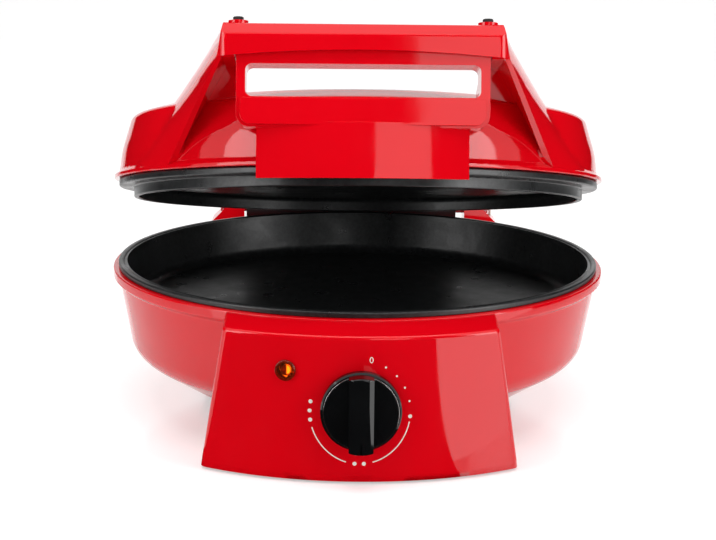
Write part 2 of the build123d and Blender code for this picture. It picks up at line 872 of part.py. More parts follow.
# Cord gland: a collar in the back wall, with a flange on each side of it.
with BuildPart() as cord_gland:
    wall_back = front_plane(base, -back_reach)
    for start, radius, length in (
        (-gland_flange, gland_radius + 1.5, gland_flange - seat_gap),
        (-1.0, gland_radius - 1.7, housing_wall + 3.0),
        (housing_wall + seat_gap, gland_radius + 1.0, 2.5),
    ):
        with BuildSketch(wall_back.offset(start)) as collar:
            with Locations((gland_offset, -gland_drop)):
                Circle(radius)
        extrude(collar.sketch, amount=length)
    with BuildSketch(wall_back.offset(-10)) as lead_bore:
        with Locations((gland_offset, -gland_drop)):
            Circle(gland_bore_radius)
    extrude(lead_bore.sketch, amount=30, mode=Mode.SUBTRACT)
finish(cord_gland.part, "cord_gland")

# Thermostat: body, threaded bush with its nut, and the shaft that the knob turns.
thermostat_front = panel_radius - panel_wall - 1.1
bush_end = panel_radius + knob_gap - 0.2
with BuildPart() as thermostat_body:
    with BuildSketch(front_plane(base, thermostat_front)) as body:
        with Locations((0, -knob_axis_drop)):
            RectangleRounded(30, 24, 3)
    extrude(body.sketch, amount=-thermostat_depth)
    with BuildSketch(front_plane(base, thermostat_front)) as bush:
        with Locations((0, -knob_axis_drop)):
            Circle(bush_radius)
    extrude(bush.sketch, amount=panel_wall + 0.3)
    with BuildSketch(front_plane(base, thermostat_front - thermostat_depth)) as tabs:
        with Locations((-8, -knob_axis_drop - 4), (8, -knob_axis_drop - 4)):
            Rectangle(6, 0.8)
    extrude(tabs.sketch, amount=-6)
    with BuildSketch(front_plane(base, thermostat_front - thermostat_depth + 4)) as shaft_bore:
        with Locations((0, -knob_axis_drop)):
            Circle(shaft_radius + running_fit)
    extrude(shaft_bore.sketch, amount=40, mode=Mode.SUBTRACT)
    with BuildSketch(front_plane(base, thermostat_front - 6)) as screw_bores:
        with Locations((-thermostat_screw_offset, -knob_axis_drop), (thermostat_screw_offset, -knob_axis_drop)):
            Circle(small_screw_radius + running_fit)
    extrude(screw_bores.sketch, amount=10, mode=Mode.SUBTRACT)
finish(thermostat_body.part, "thermostat_body")

with BuildPart() as thermostat_screws:
    for side in (-1, 1):
        for start, radius, length in (
            (-flat_head_height - 0.2, small_head_radius, flat_head_height),
            (-panel_wall - 5.5, small_screw_radius, panel_wall + 5),
        ):
            with BuildSketch(front_plane(base, panel_radius + start)) as shank:
                with Locations((side * thermostat_screw_offset, -knob_axis_drop)):
                    Circle(radius)
            extrude(shank.sketch, amount=length)
finish(thermostat_screws.part, "thermostat_screws")

# Knob: a round flange with a grip bar across it, on a shaft with a flat.
knob_back = panel_radius + knob_gap
knob_flange = 5.0
knob_face = 7.0
shaft_flat = 2.2
shaft_in_knob = 9.0
knob_sketch_plane = front_plane(base, knob_back)


def knob_disc(radius, start, length, mode=Mode.ADD):
    """A round slice of the knob, at a distance in front of its back."""
    with BuildSketch(knob_sketch_plane.offset(start)) as slice_face:
        with Locations((0, -knob_axis_drop)):
            Circle(radius)
    extrude(slice_face.sketch, amount=length, mode=mode)


with BuildPart() as control_shaft:
    shaft_start = thermostat_depth + knob_back - thermostat_front - 4.5
    knob_disc(shaft_radius, -shaft_start, shaft_start + shaft_in_knob)
    with BuildSketch(knob_sketch_plane.offset(1)) as flat:
        with Locations((0, -knob_axis_drop + shaft_flat + shaft_radius)):
            Rectangle(4 * shaft_radius, 2 * shaft_radius)
    extrude(flat.sketch, amount=20, mode=Mode.SUBTRACT)
finish(control_shaft.part, "control_shaft")

with BuildPart() as knob:
    knob_disc(knob_radius, 0, knob_flange)
    chamfer(knob.edges().group_by(Axis.Y)[0], length=1.0)
    knob_disc(knob_disc_radius, knob_flange - 1, knob_face - knob_flange + 1)
    with BuildSketch(knob_sketch_plane.offset(knob_face - 1)) as grip:
        with Locations((0, -knob_axis_drop)):
            Circle(knob_radius - 0.8)
            Rectangle(knob_grip_width, 2 * knob_radius, mode=Mode.INTERSECT)
    extrude(grip.sketch, amount=knob_depth - knob_face + 1)
    front_edges = knob.edges().group_by(Axis.Y)[0]
    fillet(front_edges, radius=1.4)
    knob_disc(shaft_radius + running_fit, -1, shaft_in_knob + 1.3, Mode.SUBTRACT)
    with BuildSketch(knob_sketch_plane.offset(1.3)) as key:
        with Locations((0, -knob_axis_drop + shaft_flat + running_fit + 2)):
            Rectangle(4 * shaft_radius, 4)
        with Locations((0, -knob_axis_drop)):
            Circle(shaft_radius + running_fit + 0.2, mode=Mode.INTERSECT)
    extrude(key.sketch, amount=knob_depth - 3)
    # Pointer: a groove at the lower end of the grip
    with BuildSketch(knob_sketch_plane.offset(knob_depth - pointer_depth)) as pointer:
        with Locations((0, -knob_axis_drop - pointer_reach)):
            RectangleRounded(pointer_width, pointer_length, pointer_width / 2 - 0.1)
    extrude(pointer.sketch, amount=3, mode=Mode.SUBTRACT)
finish(knob.part, "knob")

with BuildPart() as knob_ring:
    knob_disc(knob_disc_radius + running_fit + trim_width, knob_flange + 0.05, trim_height)
    knob_disc(knob_disc_radius + running_fit, knob_flange - 1, 4, Mode.SUBTRACT)
    with BuildSketch(knob_sketch_plane.offset(knob_flange - 1)) as grip_room:
        with Locations((0, -knob_axis_drop)):
            Rectangle(knob_grip_width + 0.3, 2 * knob_radius + 4)
    extrude(grip_room.sketch, amount=6, mode=Mode.SUBTRACT)
finish(knob_ring.part, "knob_ring")

# Lamp: an amber lens in the panel with a glow lamp behind it.
lens_bore = 3.4
lens_depth = 9.0
lens_frame = spot(base, lamp_angle, panel_radius + 0.15, -lamp_drop)
with BuildPart() as indicator_lens:
    revolve(
        outline(
            radial_plane(lens_frame),
            [
                (0, lens_proud, 0),
                (lens_radius, lens_proud, 0.7),
                (lens_radius, 0, 0),
                (lens_body_radius, 0, 0),
                (lens_body_radius, -lens_depth, 0),
                (lens_bore, -lens_depth, 0),
                (lens_bore, -1.0, 1.0),
                (0, -1.0, 0),
            ],
        ),
        axis=axis_of(lens_frame),
    )
finish(indicator_lens.part, "indicator_lens")

with BuildPart() as neon_lamp:
    revolve(
        outline(
            radial_plane(lens_frame),
            [
                (0, -2.0, 0),
                (lens_bore - 0.5, -2.0, 1.6),
                (lens_bore - 0.5, -lens_depth - 6, 0.6),
                (0, -lens_depth - 6, 0),
            ],
        ),
        axis=axis_of(lens_frame),
    )
finish(neon_lamp.part, "neon_lamp")

# Upper plate: a cast dish that hangs in the lid, with a skirt that nests in the pan.
plate_flange_top = plate_flange_bottom + plate_flange_thickness
plate_skirt_inner = plate_skirt_radius - plate_skirt_wall
flange_screw_circle = (plate_skirt_radius + plate_flange_radius) / 2
flange_screw_angles = (15, 165, -30, -90, -150)
tongue_screw_places = (-58, -22, 22, 58)

with BuildPart() as upper_plate:
    revolve(
        outline(
            radial_plane(lid),
            [
                (0, plate_face, 0),
                (plate_skirt_inner, plate_face, 3.0),
                (plate_skirt_inner, -plate_skirt_depth, 0.9),
                (plate_skirt_radius, -plate_skirt_depth, 0.9),
                (plate_skirt_radius, plate_flange_bottom, 1.0),
                (plate_flange_radius, plate_flange_bottom, 1.2),
                (plate_flange_radius, plate_flange_top, 1.2),
                (plate_skirt_inner - 2, plate_flange_top, 0),
                (plate_skirt_inner - 4, plate_top, 0),
                (0, plate_top, 0),
            ],
        ),
        axis=axis_of(lid),
    )
    heating_features(lid, plate_top, 1)
    for angle in flange_screw_angles:
        place = spot(lid, angle, flange_screw_circle, plate_flange_bottom - 0.5)
        upward = Plane(origin=place.origin, x_dir=lid.x_dir, z_dir=lid.z_dir)
        peg(upward, small_screw_radius + 0.2, plate_flange_thickness + 1, Mode.SUBTRACT)
        peg(upward, small_head_radius + 0.1, small_head_height + 0.6, Mode.SUBTRACT)
    for across in tongue_screw_places:
        reach = sqrt(flange_screw_circle**2 - across**2)
        bore = Plane(
            origin=lid.from_local_coords(Vector(across, reach, plate_flange_top)),
            x_dir=lid.x_dir,
            z_dir=lid.z_dir * -1,
        )
        peg(bore, small_screw_radius + running_fit, 3.6, Mode.SUBTRACT)
finish(upper_plate.part, "upper_plate")

with BuildPart() as upper_element:
    heating_element(lid, plate_top, 1, 90)
finish(upper_element.part, "upper_heating_element")

with BuildPart() as upper_clamps:
    element_clamps(lid, plate_top, 1)
finish(upper_clamps.part, "upper_element_clamps")

with BuildPart() as upper_clamp_screws:
    clamp_screws(lid, plate_top, 1)
finish(upper_clamp_screws.part, "upper_clamp_screws")

with BuildPart() as upper_reflector:
    reflector(lid, plate_top, 1, 90)
finish(upper_reflector.part, "upper_reflector")

with BuildPart() as reflector_screws:
    for angle in (45, 135, 225, 315):
        top = reflector_level(plate_top, 1) + reflector_sheet + 0.1
        place = spot(lid, angle, boss_circle, top).origin
        downward = Plane(origin=place, x_dir=lid.x_dir, z_dir=lid.z_dir * -1)
        screw(downward, screw_radius, 10, screw_head_radius, screw_head_height)
finish(reflector_screws.part, "upper_reflector_screws")

# Lid cover: a turned dome with two raised arms that carry the handle bar.
cover_rim = plate_flange_top + seat_gap
cover_outline = [
    (lid_lip_radius, cover_rim, 0.8),
    (lid_lip_radius, cover_rim + 2.4, 1.2),
    (lid_side_radius + 0.4, cover_rim + 5.0, 1.6),
    (lid_side_radius - 0.8, lid_shoulder_height / 2, 60),
    (lid_shoulder_radius, lid_shoulder_height, 6),
    (128.0, 54.5, 40),
]


def between(low, high, share):
    """A value on the way from low to high."""
    return low + (high - low) * share


def arm_front(height):
    """Across and reach of an arm's front corner at a height."""
    if height <= arm_head[2]:
        share = (height - arm_foot[2]) / (arm_head[2] - arm_foot[2])
        return between(arm_foot[0], arm_head[0], share), between(arm_foot[1], arm_head[1], share)
    share = (height - arm_head[2]) / (arm_tip[2] - arm_head[2])
    return between(arm_head[0], arm_tip[0], share), between(arm_head[1], arm_tip[1], share)


def arm_back(height):
    """Across and reach of an arm's ridge at a height."""
    share = (height - ridge_low[2]) / (ridge_high[2] - ridge_low[2])
    if share < 0:
        return ridge_low[0] - 24 * share, ridge_low[1] + 8 * share
    return between(ridge_low[0], ridge_high[0], share), between(ridge_low[1], ridge_high[1], share)


def arm_slice(height, inset):
    """The outline of both arms and what lies between them, at a height."""
    front_x, front_y = arm_front(height)
    back_x, back_y = arm_back(height + inset)
    front_x -= inset
    back_x -= inset
    front_y += inset
    bulge = arm_bulge * max(0.0, 1 - (height / 80) ** 2)
    middle_x = (front_x + back_x) / 2 + bulge
    middle_y = (front_y + back_y) / 2
    with BuildSketch(level(lid, height)) as face:
        with BuildLine():
            Line((-front_x, front_y), (front_x, front_y))
            ThreePointArc((front_x, front_y), (middle_x + 0.01, middle_y), (back_x, back_y))
            Line((back_x, back_y), (-back_x, back_y))
            ThreePointArc((-back_x, back_y), (-middle_x - 0.01, middle_y), (-front_x, front_y))
        make_face()
    return face.sketch


def arm_block(inset, top):
    """Both arms with the space between them, added to the open part."""
    knee = arm_head[2]
    lower = [between(cover_rim + 0.1, knee, share / 10) for share in range(10)]
    upper = [between(knee, top, share / 4) for share in range(5)]
    loft([arm_slice(height, inset) for height in lower + upper], ruled=True)


def centre_block(half_width, low, high):
    """The space between the arms, taken from the open part."""
    with BuildSketch(level(lid, low)) as centre:
        with Locations((0, -60)):
            Rectangle(2 * half_width, 280)
    extrude(centre.sketch, amount=high - low, mode=Mode.SUBTRACT)


with BuildPart() as arms:
    arm_block(0, arm_tip[2])
    centre_block(arm_inner_half_width, 0, 120)
    # Niche in front of each arm, behind its thin front edge
    low_x = arm_front(cover_rim)[0] - arm_edge
    high_x = arm_front(bar_bottom)[0] - arm_edge
    niche = outline(
        front_plane(lid, niche_back),
        [(-low_x, cover_rim - 2, 0), (low_x, cover_rim - 2, 0), (high_x, bar_bottom, 0), (-high_x, bar_bottom, 0)],
    )
    extrude(niche, amount=100, mode=Mode.SUBTRACT)

with BuildPart() as arm_cavity:
    arm_block(lid_wall, arm_tip[2] - lid_wall)
    centre_block(arm_inner_half_width + lid_wall, 0, 120)
    with BuildSketch(front_plane(lid, niche_back - lid_wall)) as front_room:
        Rectangle(400, 400)
    extrude(front_room.sketch, amount=100, mode=Mode.SUBTRACT)

dome_outline = [(0, cover_rim, 0)] + cover_outline + [(0, lid_crown_height, 0)]
dome_inner = lid_side_radius - lid_wall
handle_screw_angles = (-90 - handle_screw_angle, -90 + handle_screw_angle)
slot_half_widths = [barrel_half_width + body_gap - barrel_shift, barrel_half_width + body_gap + barrel_shift]

with BuildPart() as lid_void:
    revolve(
        outline(
            radial_plane(lid),
            [
                (0, cover_rim - 1, 0),
                (dome_inner + 0.2, cover_rim - 1, 0),
                (dome_inner - 0.8, lid_shoulder_height / 2, 57),
                (lid_shoulder_radius - 2.5, lid_shoulder_height - 1.9, 4),
                (127.3, 54.5 - lid_wall, 37),
                (0, lid_crown_height - lid_wall, 0),
            ],
        ),
        axis=axis_of(lid),
    )
    add(arm_cavity.part)
    # What stays of it: bosses for the plate's screws, joined to the wall
    with BuildSketch(level(lid, cover_rim - 2)) as rim_bosses:
        for angle in flange_screw_angles:
            with PolarLocations(flange_screw_circle, 1, start_angle=angle):
                Circle(3.4)
            with PolarLocations(flange_screw_circle + 4, 1, start_angle=angle):
                Rectangle(8, 5)
    extrude(rim_bosses.sketch, amount=14, mode=Mode.SUBTRACT)

# Handle bar: a trough, open below, that joins the arms at the front.
bar_outline = [
    (-bar_front, bar_bottom, 1.0),
    (-bar_front, bar_crease, 3.0),
    (-bar_front + 8, bar_top, 5.0),
    (-bar_back - 4, bar_top, 5.0),
    (-bar_back, bar_crease, 6.0),
    (-bar_back, bar_bottom, 1.0),
]
bar_hollow_outline = [
    (-bar_front + bar_wall, bar_bottom - 1, 0),
    (-bar_front + bar_wall, bar_crease - 0.8, 1.0),
    (-bar_front + 8 + bar_wall / 2, bar_top - bar_wall, 2.0),
    (-bar_back - 4 - bar_wall / 2, bar_top - bar_wall, 2.0),
    (-bar_back - bar_wall, bar_crease - 0.8, 3.0),
    (-bar_back - bar_wall, bar_bottom - 1, 0),
]
bar_hollow_half_width = frame_half_width + 0.4
bar_side = bar_end_half_width + 3.5
with BuildPart() as handle_bar:
    extrude(outline(side_plane(lid, -bar_side), bar_outline), amount=2 * bar_side)
    ends = outline(
        front_plane(lid, bar_front + 10),
        [
            (-bar_end_half_width, bar_bottom - 1, 0),
            (bar_end_half_width, bar_bottom - 1, 0),
            (arm_tip[0], bar_top + 1, 3.0),
            (-arm_tip[0], bar_top + 1, 3.0),
        ],
    )
    extrude(ends, amount=-60, mode=Mode.INTERSECT)
    plan = outline(
        level(lid, bar_bottom - 5),
        [
            (-bar_end_half_width, -bar_front, 7.0),
            (bar_end_half_width, -bar_front, 7.0),
            (bar_end_half_width, -bar_back, 0),
            (-bar_end_half_width, -bar_back, 0),
        ],
    )
    extrude(plan, amount=60, mode=Mode.INTERSECT)
    # Shallow arch along the lower edge
    with BuildSketch(front_plane(lid, bar_front + 10)) as arch:
        with BuildLine():
            arch_ends = ((-bar_end_half_width, bar_bottom), (bar_end_half_width, bar_bottom))
            ThreePointArc(arch_ends[0], (0, bar_bottom + bar_arch), arch_ends[1])
            Line(arch_ends[1], arch_ends[0])
        make_face()
    extrude(arch.sketch, amount=-60, mode=Mode.SUBTRACT)
    # Bosses of the rubber caps on which the opened lid lies
    foot_spots = ((-lid_foot_offset, -lid_foot_reach), (lid_foot_offset, -lid_foot_reach))
    with BuildSketch(level(lid, bar_top - 2)) as foot_bosses:
        with Locations(*foot_spots):
            Circle(lid_foot_boss_radius)
    extrude(foot_bosses.sketch, amount=lid_foot_top - bar_top - 0.5)

with BuildPart() as lid_cover:
    revolve(outline(radial_plane(lid), dome_outline), axis=axis_of(lid))
    add(arms.part)
    add(handle_bar.part)
    add(lid_void.part, mode=Mode.SUBTRACT)
    extrude(
        outline(side_plane(lid, -bar_hollow_half_width), bar_hollow_outline),
        amount=2 * bar_hollow_half_width,
        mode=Mode.SUBTRACT,
    )
    # Bores for the caps, the plate's screws and the handle frame's screws
    with BuildSketch(level(lid, bar_top - 1.4)) as cap_bores:
        with Locations(*foot_spots):
            Circle(lid_foot_cap_radius + running_fit)
    extrude(cap_bores.sketch, amount=20, mode=Mode.SUBTRACT)
    with BuildSketch(level(lid, cover_rim - 1)) as screw_bores:
        for angle in flange_screw_angles:
            with PolarLocations(flange_screw_circle, 1, start_angle=angle):
                Circle(small_screw_radius + running_fit)
    extrude(screw_bores.sketch, amount=10, mode=Mode.SUBTRACT)
    for angle in handle_screw_angles:
        place = spot(lid, angle, lid_side_radius - 20, handle_screw_height)
        peg(place, small_screw_radius + 0.3, 30, Mode.SUBTRACT)
    # Slot in the rear wall for the hinge block's tongue, with radial ends
    slot_ends = [asin(width / (dome_inner - 2)) for width in slot_half_widths]
    slot = outline(
        level(lid, cover_rim - 1),
        [
            (0, 0, 0),
            (2 * hinge_offset * sin(slot_ends[1]), 2 * hinge_offset * cos(slot_ends[1]), 0),
            (-2 * hinge_offset * sin(slot_ends[0]), 2 * hinge_offset * cos(slot_ends[0]), 0),
        ],
    )
    extrude(slot, amount=tongue_top + 0.4 - cover_rim + 1, mode=Mode.SUBTRACT)
finish(lid_cover.part, "lid_cover")

with BuildPart() as lid_plate_screws:
    for angle in flange_screw_angles:
        place = spot(lid, angle, flange_screw_circle, plate_flange_bottom + small_head_height).origin
        upward = Plane(origin=place, x_dir=lid.x_dir, z_dir=lid.z_dir)
        screw(upward, small_screw_radius, 10, small_head_radius, small_head_height)
finish(lid_plate_screws.part, "lid_plate_screws")

with BuildPart() as lid_foot_caps:
    with BuildSketch(level(lid, bar_top - 1.3)) as caps:
        with Locations(*foot_spots):
            Circle(lid_foot_cap_radius)
    extrude(caps.sketch, amount=lid_foot_top - bar_top + 1.3)
    fillet(lid_foot_caps.faces().sort_by(Axis.Z)[-2:].edges(), radius=0.8)
finish(lid_foot_caps.part, "lid_foot_caps")

# Handle frame: the window below the bar, its band and the skirt in front of the rim.
with BuildPart() as handle_frame:
    extrude(
        outline(
            front_plane(lid, frame_back),
            [
                (-frame_half_width, frame_bottom, frame_corner_radius),
                (frame_half_width, frame_bottom, frame_corner_radius),
                (frame_half_width, frame_top, 1.0),
                (-frame_half_width, frame_top, 1.0),
            ],
        ),
        amount=frame_front - frame_back,
    )
    extrude(
        outline(
            front_plane(lid, frame_front - 1),
            [
                (-frame_half_width + 2.5, frame_bottom + 1.5, 6.0),
                (frame_half_width - 2.5, frame_bottom + 1.5, 6.0),
                (frame_half_width - 2.5, band_top, 1.5),
                (-frame_half_width + 2.5, band_top, 1.5),
            ],
        ),
        amount=band_front - frame_front + 1,
    )
    # Skirt: a slightly curved apron
    with BuildSketch(level(lid, skirt_bottom)) as apron:
        with Locations((0, skirt_curve_radius - skirt_front)):
            Circle(skirt_curve_radius)
            Circle(skirt_curve_radius - skirt_thickness, mode=Mode.SUBTRACT)
        with Locations((0, -skirt_front)):
            Rectangle(2 * skirt_half_width, 40, mode=Mode.INTERSECT)
    extrude(apron.sketch, amount=frame_bottom + 3 - skirt_bottom)
    window = outline(
        front_plane(lid, frame_back - 5),
        [
            (-window_half_width, window_bottom, window_corner_radius),
            (window_half_width, window_bottom, window_corner_radius),
            (window_half_width, window_top, window_corner_radius),
            (-window_half_width, window_top, window_corner_radius),
        ],
    )
    extrude(window, amount=60, mode=Mode.SUBTRACT)
    # Pocket behind the band, between the screws
    with BuildSketch(front_plane(lid, frame_back - 5)) as pocket:
        with Locations((0, (frame_bottom + window_bottom) / 2)):
            Rectangle(2 * 42, window_bottom - frame_bottom - 2 * skirt_thickness)
    extrude(pocket.sketch, amount=frame_front - frame_back + 5 - skirt_thickness, mode=Mode.SUBTRACT)
    # Room for the dome behind it
    grown = [(across + 0.25, up + 0.25, radius) for across, up, radius in cover_outline]
    grown[0] = (lid_lip_radius + 0.25, cover_rim - 20, 0)
    dome_space = [(0, cover_rim - 20, 0)] + grown + [(0, lid_crown_height + 0.25, 0)]
    revolve(outline(radial_plane(lid), dome_space), axis=axis_of(lid), mode=Mode.SUBTRACT)
    for angle in handle_screw_angles:
        place = spot(lid, angle, lid_side_radius - 20, handle_screw_height)
        peg(place, small_screw_radius + running_fit, 30, Mode.SUBTRACT)
finish(handle_frame.part, "handle_frame")

with BuildPart() as handle_screws:
    for angle in handle_screw_angles:
        place = spot(lid, angle, lid_shoulder_radius - 1.2, handle_screw_height)
        screw(place, small_screw_radius, 15, small_head_radius, small_head_height)
finish(handle_screws.part, "handle_screws")

# Hinge block: a barrel between the ears with a tongue that is screwed onto the plate.
tongue_front = hinge_offset - tongue_reach
supply_x = 50.0
supply_y = hinge_offset - 41.0
supply_z = (tongue_bottom + tongue_top) / 2
with BuildPart() as hinge_block:
    block_start = side_plane(lid, barrel_shift - barrel_half_width)
    extrude(
        outline(
            block_start,
            [
                (tongue_front, tongue_bottom, 0),
                (tongue_front, tongue_top, 2.0),
                (hinge_offset + 4, tongue_top, 5.0),
                (hinge_offset + barrel_radius, hinge_z + 10, 3.0),
                (hinge_offset + barrel_radius, hinge_z - barrel_radius, barrel_radius - 0.05),
                (hinge_offset - barrel_radius, hinge_z - barrel_radius, barrel_radius - 0.05),
                (hinge_offset - barrel_radius, tongue_bottom, 0),
            ],
        ),
        amount=2 * barrel_half_width,
    )
    for across in tongue_screw_places:
        reach = sqrt(flange_screw_circle**2 - across**2)
        with BuildSketch(level(lid, plate_flange_top + seat_gap)) as pad:
            with Locations((across, reach)):
                Circle(3.6)
        extrude(pad.sketch, amount=2)
        with BuildSketch(level(lid, plate_flange_top)) as hole:
            with Locations((across, reach)):
                Circle(small_screw_radius + 0.3)
        extrude(hole.sketch, amount=20, mode=Mode.SUBTRACT)
        with BuildSketch(level(lid, tongue_top - 3)) as counterbore:
            with Locations((across, reach)):
                Circle(small_head_radius + 0.3)
        extrude(counterbore.sketch, amount=10, mode=Mode.SUBTRACT)
    # Bore of the pins, and channels that lead the supply from it to the tongue's top
    pin_line = disc(block_start, hinge_pin_radius + running_fit, (hinge_offset, hinge_z))
    extrude(pin_line, amount=2 * barrel_half_width, mode=Mode.SUBTRACT)
    with BuildSketch(level(lid, hinge_z)) as drop:
        with Locations((supply_x, hinge_offset)):
            Circle(lead_channel_radius)
    extrude(drop.sketch, amount=supply_z - hinge_z + lead_channel_radius, mode=Mode.SUBTRACT)
    with BuildSketch(level(lid, supply_z - lead_channel_radius)) as rise:
        with Locations((supply_x, supply_y)):
            Circle(lead_channel_radius)
    extrude(rise.sketch, amount=20, mode=Mode.SUBTRACT)
    with BuildSketch(front_plane(lid, -hinge_offset)) as run:
        with Locations((supply_x, supply_z)):
            Circle(lead_channel_radius - 0.1)
    extrude(run.sketch, amount=hinge_offset - supply_y, mode=Mode.SUBTRACT)
finish(hinge_block.part, "lid_hinge_block")

with BuildPart() as hinge_block_screws:
    for across in tongue_screw_places:
        reach = sqrt(flange_screw_circle**2 - across**2)
        top = lid.from_local_coords(Vector(across, reach, tongue_top - 3 + 0.1))
        downward = Plane(origin=top, x_dir=lid.x_dir, z_dir=lid.z_dir * -1)
        screw(downward, small_screw_radius, 11.5, small_head_radius, small_head_height)
finish(hinge_block_screws.part, "hinge_block_screws")

# Connector on the tongue, and the leads between it, the upper element and the hinge.
connector_y = hinge_offset - 37.0
connector_size = (24.0, 12.0, 9.0)
with BuildPart() as lid_connector:
    with BuildSketch(level(lid, tongue_top + seat_gap)) as block:
        with Locations((0, connector_y)):
            RectangleRounded(connector_size[0], connector_size[1], 1.0)
    extrude(block.sketch, amount=connector_size[2])
    with BuildSketch(level(lid, tongue_top + seat_gap + connector_size[2] - 3)) as sockets:
        with Locations((-6, connector_y - 3), (6, connector_y - 3)):
            Circle(lead_radius + 0.3)
    extrude(sockets.sketch, amount=10, mode=Mode.SUBTRACT)
finish(lid_connector.part, "lid_connector")

pin_reach_angle = radians(90 - element_gap_angle / 2)
pin_x = element_ring_radius * cos(pin_reach_angle)
pin_y = element_ring_radius * sin(pin_reach_angle)
upper_pin_end = element_level(plate_top, 1) + element_tail_length + element_pin_length
lower_pin_end = element_level(pan_underside, -1) - element_tail_length - element_pin_length
connector_top = tongue_top + seat_gap + connector_size[2]
with BuildPart() as lid_leads:
    for side in (-1, 1):
        corners = [
            (side * pin_x, pin_y, upper_pin_end + 0.2),
            (side * pin_x, pin_y, upper_pin_end + 5),
            (side * 6, connector_y - 3, connector_top + 8),
            (side * 6, connector_y - 3, connector_top - 2.8),
        ]
        lead(lid, lead_radius, corners)
    supply_entry = tongue_top + seat_gap + connector_size[2] / 2
    corners = [
        (connector_size[0] / 2 + 0.2, supply_y, supply_entry),
        (supply_x, supply_y, supply_entry),
        (supply_x, supply_y, supply_z),
        (supply_x, hinge_offset, supply_z),
        (supply_x, hinge_offset, hinge_z),
        (supply_x + 12, hinge_offset, hinge_z),
    ]
    lead(lid, thin_lead_radius, corners, 1.4)
finish(lid_leads.part, "lid_leads")

# Terminal block on the bottom cover, with its screws.
block_place = (0.0, 40.0)
block_size = (36.0, 16.0, 12.0)
block_bottom = cover_top + seat_gap
block_top = block_bottom + block_size[2]
terminal_places = [(block_place[0] + across, block_place[1]) for across in (-12, -4, 4, 12)]
with BuildPart() as terminal_block:
    with BuildSketch(level(base, block_bottom)) as body:
        with Locations(block_place):
            RectangleRounded(block_size[0], block_size[1], 1.5)
    extrude(body.sketch, amount=block_size[2])
    with BuildSketch(level(base, block_top - 4)) as wells:
        with Locations(*terminal_places):
            Circle(2.4)
    extrude(wells.sketch, amount=10, mode=Mode.SUBTRACT)
    with BuildSketch(level(base, block_top - 8)) as bores:
        with Locations(*terminal_places):
            Circle(1.25)
    extrude(bores.sketch, amount=10, mode=Mode.SUBTRACT)
finish(terminal_block.part, "terminal_block")

with BuildPart() as terminal_screws:
    for place in terminal_places:
        top = base.from_local_coords(Vector(place[0], place[1], block_top - 3.9))
        screw(Plane(origin=top, x_dir=base.x_dir, z_dir=base.z_dir * -1), 1.2, 3.6, 2.1, 1.6)
finish(terminal_screws.part, "terminal_screws")

# Thermal fuse in line with the lower element's return lead.
fuse_y = -20.0
fuse_z = -84.0
fuse_length = 14.0
with BuildPart() as thermal_fuse:
    with BuildSketch(front_plane(base, -fuse_y - fuse_length / 2)) as case:
        with Locations((-pin_x, fuse_z)):
            Circle(2.2)
    extrude(case.sketch, amount=fuse_length)
    fillet(thermal_fuse.edges(), radius=0.6)
finish(thermal_fuse.part, "thermal_fuse")

# Leads of the base: mains in, thermostat, lower element, fuse, lamp and lid supply.
block_front = block_place[1] - block_size[1] / 2 - 0.2
block_back = block_place[1] + block_size[1] / 2 + 0.2
entry_z = (block_bottom + block_top) / 2
tab_y = -(thermostat_front - thermostat_depth - 6) + 0.2
tab_z = -knob_axis_drop - 4
with BuildPart() as base_leads:
    lead(
        base,
        lead_radius,
        [
            (-4, block_front, entry_z),
            (-4, 0, entry_z),
            (-11, -85, entry_z),
            (-8, -138, tab_z),
            (-8, tab_y, tab_z),
        ],
    )
    lead(
        base,
        lead_radius,
        [
            (8, tab_y, tab_z),
            (8, -138, tab_z),
            (pin_x, -pin_y, lower_pin_end - 12),
            (pin_x, -pin_y, lower_pin_end - 0.2),
        ],
    )
    fuse_start = fuse_y - fuse_length / 2 - 0.2
    fuse_end = fuse_y + fuse_length / 2 + 0.2
    lead(
        base,
        lead_radius,
        [(-pin_x, -pin_y, lower_pin_end - 0.2), (-pin_x, -pin_y, fuse_z), (-pin_x, fuse_start, fuse_z)],
    )
    lead(
        base,
        lead_radius,
        [(-pin_x, fuse_end, fuse_z), (-pin_x, 8, fuse_z), (-12, 20, entry_z), (-12, block_front, entry_z)],
    )
    for side, terminal in ((-1, -12), (1, -4)):
        lead(
            base,
            lead_radius,
            [
                (gland_offset + side * 1.7, back_reach - sheath_reach, -gland_drop),
                (gland_offset + side * 1.7, back_reach - sheath_reach - 14, -gland_drop),
                (40 + side * 1.7, 135, -74),
                (terminal, 75, entry_z),
                (terminal, block_back, entry_z),
            ],
        )
finish(base_leads.part, "base_leads")

lamp_x = (panel_radius - lens_depth - 8) * cos(radians(lamp_angle))
lamp_y = (panel_radius - lens_depth - 8) * sin(radians(lamp_angle))
with BuildPart() as lamp_leads:
    for side, terminal in ((-1, 4), (1, 12)):
        lead(
            base,
            thin_lead_radius,
            [
                (lamp_x + side * 1.4, lamp_y, -lamp_drop),
                (lamp_x + side * 1.4, -145, -lamp_drop - 18),
                (terminal, -45, -74),
                (terminal, block_front - 18, entry_z),
                (terminal, block_front, entry_z),
            ],
        )
finish(lamp_leads.part, "lamp_leads")

with BuildPart() as hinge_lead:
    channel_x = ear_outer_half_width - hinge_pin_inset + 2
    lead(
        base,
        thin_lead_radius,
        [
            (supply_x + 14, hinge_offset, hinge_z),
            (channel_x, hinge_offset, hinge_z),
            (channel_x, hinge_offset, -45),
            (55, 150, -66),
            (8, 75, entry_z),
            (8, block_back, entry_z),
        ],
        1.4,
    )
finish(hinge_lead.part, "hinge_lead")
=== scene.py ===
# %% [markdown]
# # Electric pizza maker
# This notebook dresses a round countertop cooker with a raised lid. The hard parts arrive
# as a fixed frame in metres, with Z up and the knob towards -Y. Nothing in that frame is
# moved. Each cell adds one finish or one piece, and prints what it made.

# %% Load the frame and measure it
import json
from math import cos, radians, sin
import bmesh
import bpy
from mathutils import Matrix, Vector


